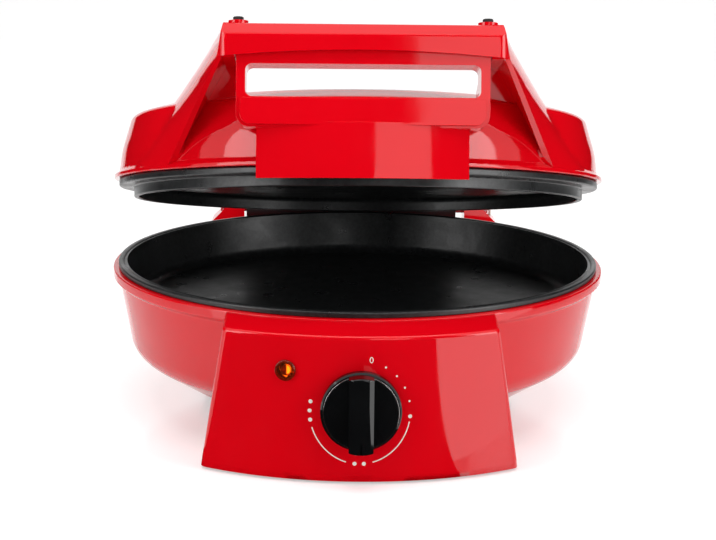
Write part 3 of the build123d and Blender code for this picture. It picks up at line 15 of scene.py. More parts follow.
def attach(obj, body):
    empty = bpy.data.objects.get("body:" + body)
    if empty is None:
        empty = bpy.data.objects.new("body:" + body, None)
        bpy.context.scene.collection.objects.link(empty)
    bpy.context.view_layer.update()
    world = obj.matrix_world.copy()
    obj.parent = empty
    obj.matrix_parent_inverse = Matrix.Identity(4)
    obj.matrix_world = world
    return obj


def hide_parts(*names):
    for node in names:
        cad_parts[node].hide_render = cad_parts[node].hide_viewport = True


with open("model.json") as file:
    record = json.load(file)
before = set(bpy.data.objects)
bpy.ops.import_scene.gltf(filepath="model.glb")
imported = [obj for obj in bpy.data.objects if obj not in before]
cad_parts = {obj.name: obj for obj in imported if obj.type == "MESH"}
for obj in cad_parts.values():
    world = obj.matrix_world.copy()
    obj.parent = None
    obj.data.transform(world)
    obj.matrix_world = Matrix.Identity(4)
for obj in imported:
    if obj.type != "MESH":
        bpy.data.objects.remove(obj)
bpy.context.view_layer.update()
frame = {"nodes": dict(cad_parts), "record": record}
nodes = frame["nodes"]
record = frame["record"]
body_of = {node: body for body, names in record["behaviour"]["bodies"].items() for node in names}
slot_of = {entry["node"]: entry["material_slot"] for entry in record["subparts"]}

# %% [markdown]
# ## Camera
# The photograph was taken from a little above the rim, about 1.2 m away, with a long lens.
# The camera's place was solved from the round rims of pan and lid, whose sizes are known,
# so it is written here as plain numbers: a position, a downward pitch, a small roll, and a
# small turn about the pan's axis. A long lens keeps the round shapes from bulging.

# %% Camera at the photograph's angle
PHOTO_WIDTH = 716
FOCAL_PIXELS = 1750
SENSOR_WIDTH = 36
CAMERA_PITCH = 12.66
CAMERA_ROLL = 0.63
CAMERA_TURN = -0.95
CAMERA_FROM_RIM = (0.0004, -1.1709, 0.2527)
PAN_Y = -0.00195
RIM_Z = 0.099


def photo_camera():
    """A camera that looks at the pan's axis as the photograph does."""
    pitch = radians(CAMERA_PITCH)
    roll = radians(CAMERA_ROLL)
    turn = Matrix.Rotation(radians(CAMERA_TURN), 3, "Z")
    ahead = Vector((0, cos(pitch), -sin(pitch)))
    right = Vector((1, 0, 0))
    up = right.cross(ahead)
    tilted_right = right * cos(roll) + up * sin(roll)
    tilted_up = up * cos(roll) - right * sin(roll)
    place = turn @ Vector(CAMERA_FROM_RIM) + Vector((0, PAN_Y, RIM_Z))
    axes = [turn @ axis for axis in (tilted_right, tilted_up, -ahead)]
    data = bpy.data.cameras.new("photo_camera")
    data.sensor_width = SENSOR_WIDTH
    data.lens = FOCAL_PIXELS / PHOTO_WIDTH * data.sensor_width
    data.clip_start = 0.01
    camera = bpy.data.objects.new("photo_camera", data)
    camera.matrix_world = Matrix(
        [[axes[column][row] for column in range(3)] + [place[row]] for row in range(3)] + [[0, 0, 0, 1]]
    )
    bpy.context.collection.objects.link(camera)
    return camera


camera = photo_camera()
bpy.context.scene.camera = camera
print("lens", round(camera.data.lens, 1), "mm")
print("camera at", [round(value, 3) for value in camera.matrix_world.translation])

# %% [markdown]
# ## Node helpers
# A procedural finish is a small tree of shader nodes. These helpers add a node with its
# values in one line and join two sockets, so that each finish below reads as a recipe.

# %% Helpers for shader nodes


def new_material(name):
    """An empty node material with its output and its main shader."""
    material = bpy.data.materials.new(name)
    material.use_nodes = True
    tree = material.node_tree
    tree.nodes.clear()
    output = tree.nodes.new("ShaderNodeOutputMaterial")
    shader = tree.nodes.new("ShaderNodeBsdfPrincipled")
    tree.links.new(shader.outputs["BSDF"], output.inputs["Surface"])
    return material, tree, shader


def add_node(tree, kind, inputs=(), **settings):
    """A node with its settings and the values of its unlinked sockets."""
    node = tree.nodes.new(kind)
    for name, value in settings.items():
        setattr(node, name, value)
    for name, value in dict(inputs).items():
        node.inputs[name].default_value = value
    return node


def noise(tree, scale, detail=3.0, stretch=(1, 1, 1)):
    """Noise on the object's own coordinates, which stay put when the object turns."""
    coordinates = add_node(tree, "ShaderNodeTexCoord")
    mapping = add_node(tree, "ShaderNodeMapping", {"Scale": stretch})
    texture = add_node(tree, "ShaderNodeTexNoise", {"Scale": scale, "Detail": detail})
    tree.links.new(coordinates.outputs["Object"], mapping.inputs["Vector"])
    tree.links.new(mapping.outputs["Vector"], texture.inputs["Vector"])
    return texture.outputs["Fac"]


def spread(tree, value, low, high, start=0.3, end=0.7):
    """Maps noise between start and end onto a range of values."""
    limits = {"From Min": start, "From Max": end, "To Min": low, "To Max": high}
    node = add_node(tree, "ShaderNodeMapRange", limits)
    tree.links.new(value, node.inputs["Value"])
    return node.outputs["Result"]


def shade(tree, value, dark, light):
    """A colour between two, chosen by a value from 0 to 1."""
    ramp = add_node(tree, "ShaderNodeValToRGB")
    ramp.color_ramp.elements[0].color = (*dark, 1)
    ramp.color_ramp.elements[1].color = (*light, 1)
    ramp.color_ramp.elements[0].position = 0.3
    ramp.color_ramp.elements[1].position = 0.7
    tree.links.new(value, ramp.inputs["Fac"])
    return ramp.outputs["Color"]


def relief(tree, shader, value, height, previous=None):
    """Presses a pattern into the surface's normal, as deep as height in metres."""
    bump = add_node(tree, "ShaderNodeBump", {"Distance": height, "Strength": 1.0})
    tree.links.new(value, bump.inputs["Height"])
    if previous is not None:
        tree.links.new(previous, bump.inputs["Normal"])
    tree.links.new(bump.outputs["Normal"], shader.inputs["Normal"])
    return bump.outputs["Normal"]


print("helpers ready")

# %% [markdown]
# ## Finishes
# The housing is glossy red plastic: a clean reflection that wavers slightly, because no
# moulding is perfectly flat, and a few fine rubs that dull it. The pan and the plate carry
# a dark coating with a fine pebble. The rest are bare metals, rubber and small fittings.

# %% Red plastic


def red_plastic():
    """Glossy moulded plastic with a slow wave in its gloss and faint rubs."""
    material, tree, shader = new_material("red_plastic")
    tone = shade(tree, noise(tree, 9.0), (0.70, 0.0008, 0.0060), (0.76, 0.0010, 0.0075))
    tree.links.new(tone, shader.inputs["Base Color"])
    rubs = noise(tree, 140.0, 6.0, (1, 1, 0.3))
    tree.links.new(spread(tree, rubs, 0.035, 0.085), shader.inputs["Roughness"])
    wave = relief(tree, shader, noise(tree, 22.0, 1.0), 0.00004)
    relief(tree, shader, noise(tree, 700.0, 2.0), 0.0000016, wave)
    shader.inputs["IOR"].default_value = 1.5
    return material


def black_plastic(name, roughness, tone, grain):
    """Black moulded plastic: grain is the depth of its texture in metres."""
    material, tree, shader = new_material(name)
    colour = shade(tree, noise(tree, 30.0), tone, [channel * 1.5 for channel in tone])
    tree.links.new(colour, shader.inputs["Base Color"])
    dullness = spread(tree, noise(tree, 180.0), roughness, roughness * 1.4)
    tree.links.new(dullness, shader.inputs["Roughness"])
    relief(tree, shader, noise(tree, 1600.0, 2.0), grain)
    return material


finishes = {
    "red_plastic": red_plastic(),
    "black_plastic": black_plastic("black_plastic", 0.34, (0.012, 0.012, 0.013), 0.00004),
    "knob_black": black_plastic("knob_black", 0.05, (0.003, 0.0032, 0.0035), 0.0000015),
    "rubber_black": black_plastic("rubber_black", 0.62, (0.016, 0.016, 0.016), 0.00006),
}
print("plastics", sorted(finishes))

# %% Coating, metals and small fittings


def nonstick():
    """Dark coating with a fine pebble that glints, a little worn."""
    material, tree, shader = new_material("nonstick")
    colour = shade(tree, noise(tree, 420.0, 4.0), (0.007, 0.0075, 0.008), (0.022, 0.0235, 0.0245))
    tree.links.new(colour, shader.inputs["Base Color"])
    tree.links.new(spread(tree, noise(tree, 60.0), 0.26, 0.40), shader.inputs["Roughness"])
    pebble = relief(tree, shader, noise(tree, 1100.0, 3.0), 0.00007)
    relief(tree, shader, noise(tree, 240.0, 2.0), 0.00006, pebble)
    shader.inputs["Specular IOR Level"].default_value = 0.5
    return material


def metal(name, colour, roughness, streak=(1, 1, 1), scratch=0.00001):
    """Bare metal with fine streaks: the streak's smallest number is their direction."""
    material, tree, shader = new_material(name)
    tone = shade(tree, noise(tree, 90.0, 4.0, streak), [channel * 0.86 for channel in colour], colour)
    tree.links.new(tone, shader.inputs["Base Color"])
    shader.inputs["Metallic"].default_value = 1.0
    grain = noise(tree, 900.0, 3.0, streak)
    tree.links.new(spread(tree, grain, roughness * 0.8, roughness * 1.3), shader.inputs["Roughness"])
    relief(tree, shader, grain, scratch)
    return material


def plain_fitting(name, dark, light, roughness, scale, depth):
    """A mottled solid such as glazed clay, lacquer or sleeve, with a fine relief."""
    material, tree, shader = new_material(name)
    tree.links.new(shade(tree, noise(tree, scale), dark, light), shader.inputs["Base Color"])
    dullness = spread(tree, noise(tree, 200.0), roughness, roughness * 1.3)
    tree.links.new(dullness, shader.inputs["Roughness"])
    relief(tree, shader, noise(tree, scale * 8, 2.0), depth)
    return material


def braided_sleeve():
    """Woven glass sleeve of the leads: two crossing bands make the braid."""
    material, tree, shader = new_material("lead_fabric")
    coordinates = add_node(tree, "ShaderNodeTexCoord")
    bands = []
    for turn in (radians(38), radians(-38)):
        mapping = add_node(tree, "ShaderNodeMapping", {"Rotation": (0, 0, turn)})
        wave = add_node(tree, "ShaderNodeTexWave", {"Scale": 420.0, "Distortion": 0.4})
        tree.links.new(coordinates.outputs["Object"], mapping.inputs["Vector"])
        tree.links.new(mapping.outputs["Vector"], wave.inputs["Vector"])
        bands.append(wave.outputs["Fac"])
    braid = add_node(tree, "ShaderNodeMath", operation="MAXIMUM")
    tree.links.new(bands[0], braid.inputs[0])
    tree.links.new(bands[1], braid.inputs[1])
    tone = shade(tree, braid.outputs[0], (0.36, 0.34, 0.29), (0.70, 0.67, 0.60))
    tree.links.new(tone, shader.inputs["Base Color"])
    shader.inputs["Roughness"].default_value = 0.75
    relief(tree, shader, braid.outputs[0], 0.0001)
    return material


finishes["nonstick"] = nonstick()
finishes["steel"] = metal("steel", (0.55, 0.55, 0.55), 0.26, (1, 6, 1))
finishes["element_steel"] = metal("element_steel", (0.21, 0.20, 0.19), 0.42, (3, 3, 1), 0.00003)
finishes["reflector_sheet"] = metal("reflector_sheet", (0.76, 0.77, 0.79), 0.18, (1, 12, 1))
finishes["pin_steel"] = metal("pin_steel", (0.50, 0.50, 0.51), 0.20, (12, 1, 1))
finishes["bright_trim"] = metal("bright_trim", (0.80, 0.80, 0.80), 0.08)
finishes["brass_screw"] = metal("brass_screw", (0.72, 0.52, 0.22), 0.24)
finishes["block_white"] = plain_fitting(
    "block_white", (0.70, 0.67, 0.60), (0.80, 0.78, 0.72), 0.25, 40.0, 0.00002
)
finishes["fuse_case"] = plain_fitting(
    "fuse_case", (0.42, 0.38, 0.30), (0.55, 0.50, 0.42), 0.30, 80.0, 0.00001
)
finishes["lead_fabric"] = braided_sleeve()
print("finishes", len(finishes))

# %% [markdown]
# ## The lamp
# The lamp is an amber lens with a glow lamp behind it. The lens lets light through, so
# the glow is a real light source inside the panel, seen through coloured plastic.

# %% Lens and glow
LAMP_X = -0.0446


def amber_lens():
    """Clear amber plastic."""
    material, tree, shader = new_material("lamp_lens")
    tone = shade(tree, noise(tree, 260.0, 2.0), (0.34, 0.034, 0.006), (0.50, 0.060, 0.010))
    tree.links.new(tone, shader.inputs["Base Color"])
    shader.inputs["Roughness"].default_value = 0.06
    shader.inputs["Transmission Weight"].default_value = 0.9
    shader.inputs["IOR"].default_value = 1.49
    relief(tree, shader, noise(tree, 500.0, 1.0), 0.00003)
    return material


def glow():
    """Glass envelope of a neon lamp, whose glow sits on one of its two electrodes."""
    material, tree, shader = new_material("lamp_glass")
    tone = shade(tree, noise(tree, 300.0, 2.0), (0.95, 0.80, 0.10), (1.0, 0.92, 0.16))
    tree.links.new(tone, shader.inputs["Base Color"])
    tree.links.new(tone, shader.inputs["Emission Color"])
    coordinates = add_node(tree, "ShaderNodeTexCoord")
    axes = add_node(tree, "ShaderNodeSeparateXYZ")
    tree.links.new(coordinates.outputs["Object"], axes.inputs["Vector"])
    side = spread(tree, axes.outputs["X"], 0.0, 16.0, LAMP_X + 0.0006, LAMP_X + 0.0014)
    tree.links.new(side, shader.inputs["Emission Strength"])
    shader.inputs["Roughness"].default_value = 0.1
    return material


finishes["lamp_lens"] = amber_lens()
finishes["lamp_glass"] = glow()
print("lamp finishes made")

# %% [markdown]
# ## Giving each part its finish
# Every part in the frame has a material slot in the record. A small or hidden part keeps
# its own mesh and only gets the finish. The meshes in the frame are loose triangles with
# flat faces, which would show as facets in a glossy surface, so each part that shows gets
# a skin: a copy whose triangles are joined, smoothed between faces that meet at a shallow
# angle, and given a fine rounded edge where two faces meet sharply.

# %% Finishes on the frame's own meshes
for name, part in nodes.items():
    part.data.materials.clear()
    part.data.materials.append(finishes[slot_of[name]])
print("finished", len(nodes), "parts")

# %% Skins for the parts that show
JOIN_DISTANCE = 0.000002
FLAT_ANGLE = 0.05


def evaluated_mesh(piece):
    """The mesh that a piece has after its modifiers."""
    return bpy.data.meshes.new_from_object(piece.evaluated_get(bpy.context.evaluated_depsgraph_get()))


def keep_modified(piece):
    """Makes what a piece's modifiers do its plain mesh."""
    shown = evaluated_mesh(piece)
    piece.modifiers.clear()
    piece.data = shown


def skin(node, edge=0.0, shape=None, smooth=32.0):
    """A joined and smoothed copy of a part, with rounded edges, that stands for it.
    The function shape, where there is one, changes the joined mesh first."""
    mesh = nodes[node].data.copy()
    mesh.name = node + "_skin"
    work = bmesh.new()
    work.from_mesh(mesh)
    bmesh.ops.remove_doubles(work, verts=work.verts, dist=JOIN_DISTANCE)
    bmesh.ops.dissolve_limit(work, angle_limit=radians(FLAT_ANGLE), verts=work.verts, edges=work.edges)
    if shape is not None:
        shape(work)
    work.to_mesh(mesh)
    work.free()
    mesh.shade_smooth()
    mesh.set_sharp_from_angle(angle=radians(smooth))
    piece = bpy.data.objects.new(node + "_skin", mesh)
    bpy.context.collection.objects.link(piece)
    if edge > 0:
        rounding = piece.modifiers.new("rounding", "BEVEL")
        rounding.width = edge
        rounding.segments = 2
        rounding.limit_method = "ANGLE"
        rounding.angle_limit = radians(smooth + 6)
        rounding.harden_normals = True
        keep_modified(piece)
    lean = piece.modifiers.new("flat_faces_lead", "WEIGHTED_NORMAL")
    lean.keep_sharp = True
    lean.weight = 60
    keep_modified(piece)
    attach(piece, body_of[node])
    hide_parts(node)
    return piece


GRIP_HALF = 0.0073
GRIP_FLAT = 0.0044
GRIP_FRONT = -0.20505
GRIP_ROUND = 0.0015
GRIP_FALL = 0.0020


def slope_grip_edges(work):
    """Wide slopes along the two long front edges of the knob's grip, which catch light."""
    for side in (-1, 1):
        everything = work.verts[:] + work.edges[:] + work.faces[:]
        cut = (side * GRIP_FLAT, 0, 0)
        bmesh.ops.bisect_plane(work, geom=everything, plane_co=cut, plane_no=(1, 0, 0))
    for corner in work.verts:
        past = abs(corner.co.x) - GRIP_FLAT
        if past > 0 and corner.co.y < GRIP_FRONT + GRIP_ROUND:
            slope = GRIP_FRONT + GRIP_FALL * past / (GRIP_HALF - GRIP_FLAT)
            corner.co.y = max(corner.co.y, slope)


skins = {}
for node, edge in (
    ("base_housing", 0.0),
    ("control_panel", 0.0),
    ("hinge_housing", 0.0004),
    ("lid_cover", 0.0008),
    ("handle_frame", 0.0009),
    ("lower_pan", 0.0),
    ("upper_plate", 0.0),
    ("lid_hinge_block", 0.0003),
    ("knob_ring", 0.00015),
    ("indicator_lens", 0.0),
    ("neon_lamp", 0.0),
    ("lid_foot_caps", 0.0),
    ("bottom_cover", 0.0002),
    ("cord_gland", 0.0003),
):
    skins[node] = skin(node, edge)
    print(node, len(skins[node].data.polygons), "faces")
skins["knob"] = skin("knob", 0.0002, slope_grip_edges)
print("knob", len(skins["knob"].data.polygons), "faces")

# %% [markdown]
# ## Marks around the dial
# The dial's scale is printed: a zero, dots that grow with the heat, and two arcs. Each row
# of dots repeats one shape at even angles, so Geometry Nodes make it: points along a line
# are the dots' numbers, their angle follows from the number, and a last step bends the flat
# print around the panel's round face. The arcs and the zero are thin bands, bent the same
# way. The print is a few hundredths of a millimetre thick, so it never hides in the face.

# %% Sizes of the scale
PANEL_RADIUS = 0.187
SCALE_X = -0.0006
SCALE_Z = 0.0449
SCALE_ACROSS = 0.0298
SCALE_UP = 0.0317
PRINT_DEPTH = 0.00006
print("scale", round(2000 * SCALE_ACROSS, 1), "mm wide")

# %% A row of dots with Geometry Nodes


def math_node(tree, operation, first, second=None):
    """One step of arithmetic in a tree; numbers and sockets both do."""
    node = tree.nodes.new("ShaderNodeMath")
    node.operation = operation
    for socket, value in zip(node.inputs, (first, second)):
        if value is None:
            continue
        if isinstance(value, (int, float)):
            socket.default_value = value
        else:
            tree.links.new(value, socket)
    return node.outputs[0]


def dot_row_tree():
    """Dots at even angles around the scale, bent around the panel's face."""
    tree = bpy.data.node_groups.new("dot_row", "GeometryNodeTree")
    tree.interface.new_socket("Geometry", in_out="OUTPUT", socket_type="NodeSocketGeometry")
    tree.interface.new_socket("Count", in_out="INPUT", socket_type="NodeSocketInt")
    for name in ("First Angle", "Step Angle", "Dot Radius"):
        tree.interface.new_socket(name, in_out="INPUT", socket_type="NodeSocketFloat")
    tree.interface.new_socket("Finish", in_out="INPUT", socket_type="NodeSocketMaterial")
    given = tree.nodes.new("NodeGroupInput").outputs
    result = tree.nodes.new("NodeGroupOutput")
    line = tree.nodes.new("GeometryNodeMeshLine")
    tree.links.new(given["Count"], line.inputs["Count"])
    number = tree.nodes.new("GeometryNodeInputIndex").outputs[0]
    steps = math_node(tree, "MULTIPLY", number, given["Step Angle"])
    angle = math_node(tree, "ADD", given["First Angle"], steps)
    place = tree.nodes.new("ShaderNodeCombineXYZ")
    reach_x = math_node(tree, "MULTIPLY", math_node(tree, "SINE", angle), SCALE_ACROSS)
    tree.links.new(reach_x, place.inputs["X"])
    rise = math_node(tree, "MULTIPLY", math_node(tree, "COSINE", angle), SCALE_UP)
    tree.links.new(rise, place.inputs["Y"])
    spots = tree.nodes.new("GeometryNodeSetPosition")
    tree.links.new(line.outputs["Mesh"], spots.inputs["Geometry"])
    tree.links.new(place.outputs[0], spots.inputs["Position"])
    dot = tree.nodes.new("GeometryNodeMeshCylinder")
    dot.inputs["Vertices"].default_value = 24
    dot.inputs["Depth"].default_value = PRINT_DEPTH
    tree.links.new(given["Dot Radius"], dot.inputs["Radius"])
    copies = tree.nodes.new("GeometryNodeInstanceOnPoints")
    tree.links.new(spots.outputs["Geometry"], copies.inputs["Points"])
    tree.links.new(dot.outputs["Mesh"], copies.inputs["Instance"])
    solid = tree.nodes.new("GeometryNodeRealizeInstances")
    tree.links.new(copies.outputs["Instances"], solid.inputs["Geometry"])
    flat = tree.nodes.new("ShaderNodeSeparateXYZ")
    tree.links.new(tree.nodes.new("GeometryNodeInputPosition").outputs[0], flat.inputs[0])
    across = math_node(tree, "ADD", flat.outputs["X"], SCALE_X)
    turn = math_node(tree, "DIVIDE", across, PANEL_RADIUS)
    reach = math_node(tree, "ADD", flat.outputs["Z"], PANEL_RADIUS)
    bent = tree.nodes.new("ShaderNodeCombineXYZ")
    tree.links.new(math_node(tree, "MULTIPLY", math_node(tree, "SINE", turn), reach), bent.inputs["X"])
    depth = math_node(tree, "MULTIPLY", math_node(tree, "COSINE", turn), reach)
    tree.links.new(math_node(tree, "SUBTRACT", PAN_Y, depth), bent.inputs["Y"])
    tree.links.new(math_node(tree, "ADD", flat.outputs["Y"], SCALE_Z), bent.inputs["Z"])
    wrapped = tree.nodes.new("GeometryNodeSetPosition")
    tree.links.new(solid.outputs["Geometry"], wrapped.inputs["Geometry"])
    tree.links.new(bent.outputs[0], wrapped.inputs["Position"])
    coloured = tree.nodes.new("GeometryNodeSetMaterial")
    tree.links.new(wrapped.outputs["Geometry"], coloured.inputs["Geometry"])
    tree.links.new(given["Finish"], coloured.inputs["Material"])
    tree.links.new(coloured.outputs["Geometry"], result.inputs["Geometry"])
    return tree


dot_rows = dot_row_tree()
print("tree", dot_rows.name, "with", len(dot_rows.nodes), "nodes")

# %% Print the dots
SMALL_DOT = 0.00062
ONE_DOT = 0.00118
BIG_DOT = 0.00122


def printed_white():
    """Cream printing ink, a little uneven."""
    material, tree, shader = new_material("printed_white")
    tone = shade(tree, noise(tree, 900.0, 3.0), (0.86, 0.82, 0.72), (0.95, 0.93, 0.85))
    tree.links.new(tone, shader.inputs["Base Color"])
    tree.links.new(spread(tree, noise(tree, 1500.0), 0.30, 0.45), shader.inputs["Roughness"])
    relief(tree, shader, noise(tree, 3000.0, 2.0), 0.000004)
    return material


def keep_print(mesh, name):
    """A finished print that moves with the base."""
    piece = bpy.data.objects.new(name, mesh)
    bpy.context.collection.objects.link(piece)
    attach(piece, "base")
    return piece


def dot_row(name, count, first, step, radius):
    """One row of dots as a plain mesh; angles in degrees, clockwise from the top."""
    holder = bpy.data.objects.new(name + "_maker", bpy.data.meshes.new(name + "_maker"))
    bpy.context.collection.objects.link(holder)
    modifier = holder.modifiers.new("dot_row", "NODES")
    modifier.node_group = dot_rows
    sockets = {
        item.name: item.identifier
        for item in dot_rows.interface.items_tree
        if item.item_type == "SOCKET" and item.in_out == "INPUT"
    }
    values = {
        "Count": count,
        "First Angle": radians(first),
        "Step Angle": radians(step),
        "Dot Radius": radius,
        "Finish": print_finish,
    }
    for socket, value in values.items():
        modifier[sockets[socket]] = value
    mesh = evaluated_mesh(holder)
    holder.modifiers.clear()
    bpy.data.objects.remove(holder)
    mesh.name = name
    return keep_print(mesh, name)


print_finish = printed_white()
dot_row("low_heat_dots", 4, 30, 16, SMALL_DOT)
dot_row("one_dot", 1, 95, 0, ONE_DOT)
dot_row("two_dots", 2, 175, 10.6, BIG_DOT)
dot_row("three_dots", 3, 260.5, 10.2, BIG_DOT)
print("dots printed")

# %% Print the arcs and the zero


def bend_to_panel(across, height, lift):
    """Where a spot of the flat print lies on the round face."""
    reach = PANEL_RADIUS + lift
    turn = (SCALE_X + across) / PANEL_RADIUS
    return (reach * sin(turn), PAN_Y - reach * cos(turn), SCALE_Z + height)


def printed_band(name, centre_line, half_width, closed):
    """A thin band of ink along a line of flat points, each with its outward direction."""
    work = bmesh.new()
    rings = []
    for across, height, out_x, out_z in centre_line:
        corners = []
        for side, lift in ((1, -0.5), (1, 0.5), (-1, 0.5), (-1, -0.5)):
            x = across + side * half_width * out_x
            z = height + side * half_width * out_z
            corners.append(work.verts.new(bend_to_panel(x, z, lift * PRINT_DEPTH)))
        rings.append(corners)
    pairs = list(zip(rings, rings[1:] + rings[:1])) if closed else list(zip(rings, rings[1:]))
    for here, there in pairs:
        for corner in range(4):
            after = (corner + 1) % 4
            work.faces.new((here[corner], there[corner], there[after], here[after]))
    if not closed:
        work.faces.new(rings[0])
        work.faces.new(rings[-1])
    bmesh.ops.recalc_face_normals(work, faces=work.faces)
    mesh = bpy.data.meshes.new(name)
    work.to_mesh(mesh)
    work.free()
    mesh.materials.append(print_finish)
    return keep_print(mesh, name)


def scale_arc(first, last, steps=36):
    """Flat points along the scale between two angles."""
    angles = [radians(first + (last - first) * step / steps) for step in range(steps + 1)]
    return [(SCALE_ACROSS * sin(a), SCALE_UP * cos(a), sin(a), cos(a)) for a in angles]


ARC_HALF_WIDTH = 0.00034
ZERO_ANGLE = radians(12.5)
ZERO_RISE = 0.0010
ZERO_HALF_WIDTH = 0.00090
ZERO_HALF_HEIGHT = 0.00160
ZERO_LINE_HALF_WIDTH = 0.00026
zero_x = SCALE_ACROSS * sin(ZERO_ANGLE)
zero_z = SCALE_UP * cos(ZERO_ANGLE) + ZERO_RISE
zero_line = []
for a in (radians(degrees_round) for degrees_round in range(0, 360, 12)):
    zero_line.append((zero_x + ZERO_HALF_WIDTH * sin(a), zero_z + ZERO_HALF_HEIGHT * cos(a), sin(a), cos(a)))
printed_band("right_arc", scale_arc(101, 165), ARC_HALF_WIDTH, False)
printed_band("left_arc", scale_arc(195.5, 252), ARC_HALF_WIDTH, False)
printed_band("zero_mark", zero_line, ZERO_LINE_HALF_WIDTH, True)
print("arcs and zero printed")

# %% [markdown]
# ## Stage and light
# A white sweep runs from the floor up behind the object. Large soft lamps stand left,
# right and above, and the air around is pale. Gloss shows whatever stands around it, so
# the dark parts of the gloss need something dark to show: photographers put black boards,
# called flags, behind the camera, beside the object and on the table in front. The camera
# doesn't see them, only the reflections do. Soft cards give the panel, the handle and the
# knob their pale patches, and a bright strip overhead draws a line along each crease.

# %% White sweep
SWEEP_LIFT = 0.44
SWEEP_HALF_WIDTH = 4.0
CURVE_Y = 1.1
CURVE_RADIUS = 0.8
WALL_TOP = 3.6


def visible_rays(tree):
    """1 for what the camera sees directly, in a mirror or through glass, else 0."""
    path = add_node(tree, "ShaderNodeLightPath")
    seen = add_node(tree, "ShaderNodeMath", operation="MAXIMUM")
    seen_through = add_node(tree, "ShaderNodeMath", operation="MAXIMUM")
    tree.links.new(path.outputs["Is Camera Ray"], seen.inputs[0])
    tree.links.new(path.outputs["Is Glossy Ray"], seen.inputs[1])
    tree.links.new(seen.outputs[0], seen_through.inputs[0])
    tree.links.new(path.outputs["Is Transmission Ray"], seen_through.inputs[1])
    return seen_through.outputs[0]


def white_sweep():
    """A floor that curves up into a wall, in one sheet."""
    profile = [(-3.2, 0.0), (-1.5, 0.0), (0.0, 0.0), (CURVE_Y, 0.0)]
    for a in (radians(degrees_up) for degrees_up in range(10, 91, 10)):
        profile.append((CURVE_Y + CURVE_RADIUS * sin(a), CURVE_RADIUS - CURVE_RADIUS * cos(a)))
    profile.append((CURVE_Y + CURVE_RADIUS, WALL_TOP))
    mesh = bpy.data.meshes.new("white_sweep")
    places = [(x, y, z) for y, z in profile for x in (-SWEEP_HALF_WIDTH, SWEEP_HALF_WIDTH)]
    faces = [(2 * i, 2 * i + 1, 2 * i + 3, 2 * i + 2) for i in range(len(profile) - 1)]
    mesh.from_pydata(places, [], faces)
    mesh.shade_smooth()
    sheet = bpy.data.objects.new("white_sweep", mesh)
    bpy.context.collection.objects.link(sheet)
    material, tree, shader = new_material("white_sweep")
    shader.inputs["Base Color"].default_value = (0.80, 0.80, 0.80, 1)
    shader.inputs["Roughness"].default_value = 0.14
    shader.inputs["Emission Color"].default_value = (1, 1, 1, 1)
    lift = math_node(tree, "MULTIPLY", visible_rays(tree), SWEEP_LIFT)
    tree.links.new(lift, shader.inputs["Emission Strength"])
    mesh.materials.append(material)
    return sheet


sweep = white_sweep()
print("sweep", [round(value, 2) for value in sweep.dimensions])

# %% Flags and cards


def board(name, corners, strength=0.0):
    """A flat board that only reflections see: black, or a card that glows with a strength.
    It faces the object, and light passes through its back."""
    mesh = bpy.data.meshes.new(name)
    mesh.from_pydata(corners, [], [tuple(range(len(corners)))])
    face = mesh.polygons[0]
    if face.normal.dot(Vector(MIDDLE) - face.center) < 0:
        mesh.flip_normals()
    material, tree, shader = new_material(name)
    shader.inputs["Base Color"].default_value = (0.01, 0.01, 0.01, 1)
    shader.inputs["Roughness"].default_value = 0.9
    shader.inputs["Specular IOR Level"].default_value = 0.0
    shader.inputs["Emission Color"].default_value = (1, 1, 1, 1)
    shader.inputs["Emission Strength"].default_value = strength
    clear = add_node(tree, "ShaderNodeBsdfTransparent")
    side = add_node(tree, "ShaderNodeNewGeometry")
    either = add_node(tree, "ShaderNodeMixShader")
    tree.links.new(side.outputs["Backfacing"], either.inputs["Fac"])
    tree.links.new(shader.outputs["BSDF"], either.inputs[1])
    tree.links.new(clear.outputs["BSDF"], either.inputs[2])
    tree.links.new(either.outputs["Shader"], tree.nodes["Material Output"].inputs["Surface"])
    mesh.materials.append(material)
    piece = bpy.data.objects.new(name, mesh)
    bpy.context.collection.objects.link(piece)
    piece.visible_camera = False
    piece.visible_diffuse = False
    piece.visible_shadow = False
    piece.visible_transmission = False
    return piece


def upright_board(name, left, right, y, low, high, strength=0.0):
    """A board across the view, at one y."""
    return board(name, [(left, y, low), (right, y, low), (right, y, high), (left, y, high)], strength)


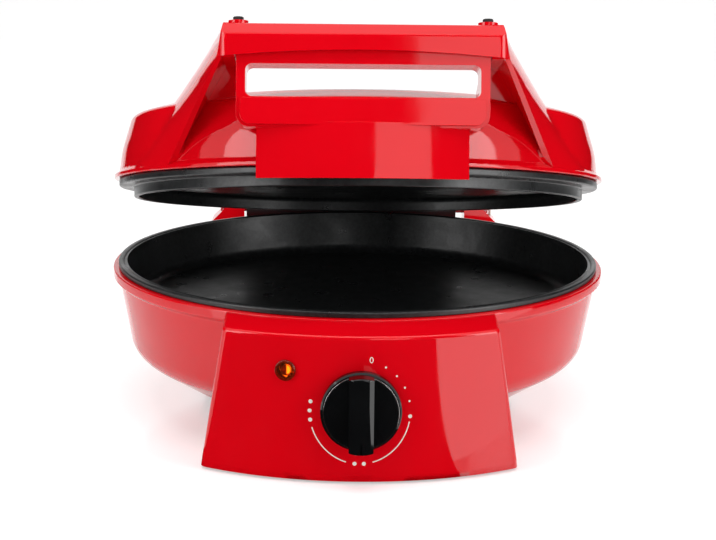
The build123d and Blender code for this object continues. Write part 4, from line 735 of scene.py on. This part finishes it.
MIDDLE = (0, 0, 0.12)
BOARD_Z = 0.0005
NEAR_Y = -0.12
CARD_Y = -0.205
FAR_Y = -1.15
LEFT_X = -1.7
RIGHT_X = 1.6
FLAG_X = 0.9
STRIP_Z = 1.69
CARD_GLOW = 2.2
HANDLE_CARD_GLOW = 1.6
STRIP_GLOW = 7.0
turn_near = (0.031, NEAR_Y, BOARD_Z)
turn_card = (0.075, CARD_Y, BOARD_Z)
turn_far = (0.568, FAR_Y, BOARD_Z)
left_near = (-0.125, NEAR_Y, BOARD_Z)
left_bend = (-0.30, -0.26, BOARD_Z)
left_far = (-1.53, FAR_Y, BOARD_Z)
left_edge = [(LEFT_X, FAR_Y, BOARD_Z), (LEFT_X, CARD_Y, BOARD_Z)]
right_edge = [(RIGHT_X, CARD_Y, BOARD_Z), (RIGHT_X, FAR_Y, BOARD_Z)]
board("table_flag", [left_near, turn_near, turn_far, left_far, left_bend])
board("left_card", [left_bend, left_far] + left_edge, CARD_GLOW)
board("low_card", [turn_card] + right_edge + [turn_far], CARD_GLOW)
upright_board("camera_flag", -1.5, 1.5, -1.45, 0.0, 2.6)
upright_board("handle_card", 0.10, 0.5, -1.44, 0.25, 1.3, HANDLE_CARD_GLOW)
for name, x in (("left_flag", -FLAG_X), ("right_flag", FLAG_X)):
    board(name, [(x, y, z) for y, z in ((-0.2, 0.0), (1.5, 0.0), (1.5, 1.2), (-0.2, 1.2))])
strip = [(x, y, STRIP_Z) for x, y in ((-0.8, -0.40), (0.8, -0.40), (0.8, -0.26), (-0.8, -0.26))]
board("top_strip", strip, STRIP_GLOW)
print("boards placed")

# %% Soft lamps
AIR_STRENGTH = 0.27
SIDE_LAMP_SIZE = (0.7, 1.3)


def soft_lamp(name, place, target, size, power):
    """A rectangular lamp that faces a target."""
    data = bpy.data.lights.new(name, "AREA")
    data.shape = "RECTANGLE"
    data.size, data.size_y = size
    data.energy = power
    lamp = bpy.data.objects.new(name, data)
    lamp.location = place
    lamp.rotation_euler = (Vector(target) - Vector(place)).to_track_quat("-Z", "Y").to_euler()
    bpy.context.collection.objects.link(lamp)
    return lamp


above = soft_lamp("lamp_above", (0.0, -0.35, 1.7), MIDDLE, (1.5, 1.0), 19)
above.visible_glossy = False
soft_lamp("lamp_right", (1.35, -0.95, 0.60), MIDDLE, SIDE_LAMP_SIZE, 12.5)
soft_lamp("lamp_left", (-1.35, -0.95, 0.60), MIDDLE, SIDE_LAMP_SIZE, 10.5)
world = bpy.data.worlds.new("pale_room")
bpy.context.scene.world = world
world.use_nodes = True
air = world.node_tree.nodes["Background"]
air.inputs["Color"].default_value = (1, 1, 1, 1)
air_strength = spread(world.node_tree, visible_rays(world.node_tree), AIR_STRENGTH, 1.0, 0.0, 1.0)
world.node_tree.links.new(air_strength, air.inputs["Strength"])
bpy.context.scene.view_settings.view_transform = "Standard"
print("lamps", len(bpy.data.lights))
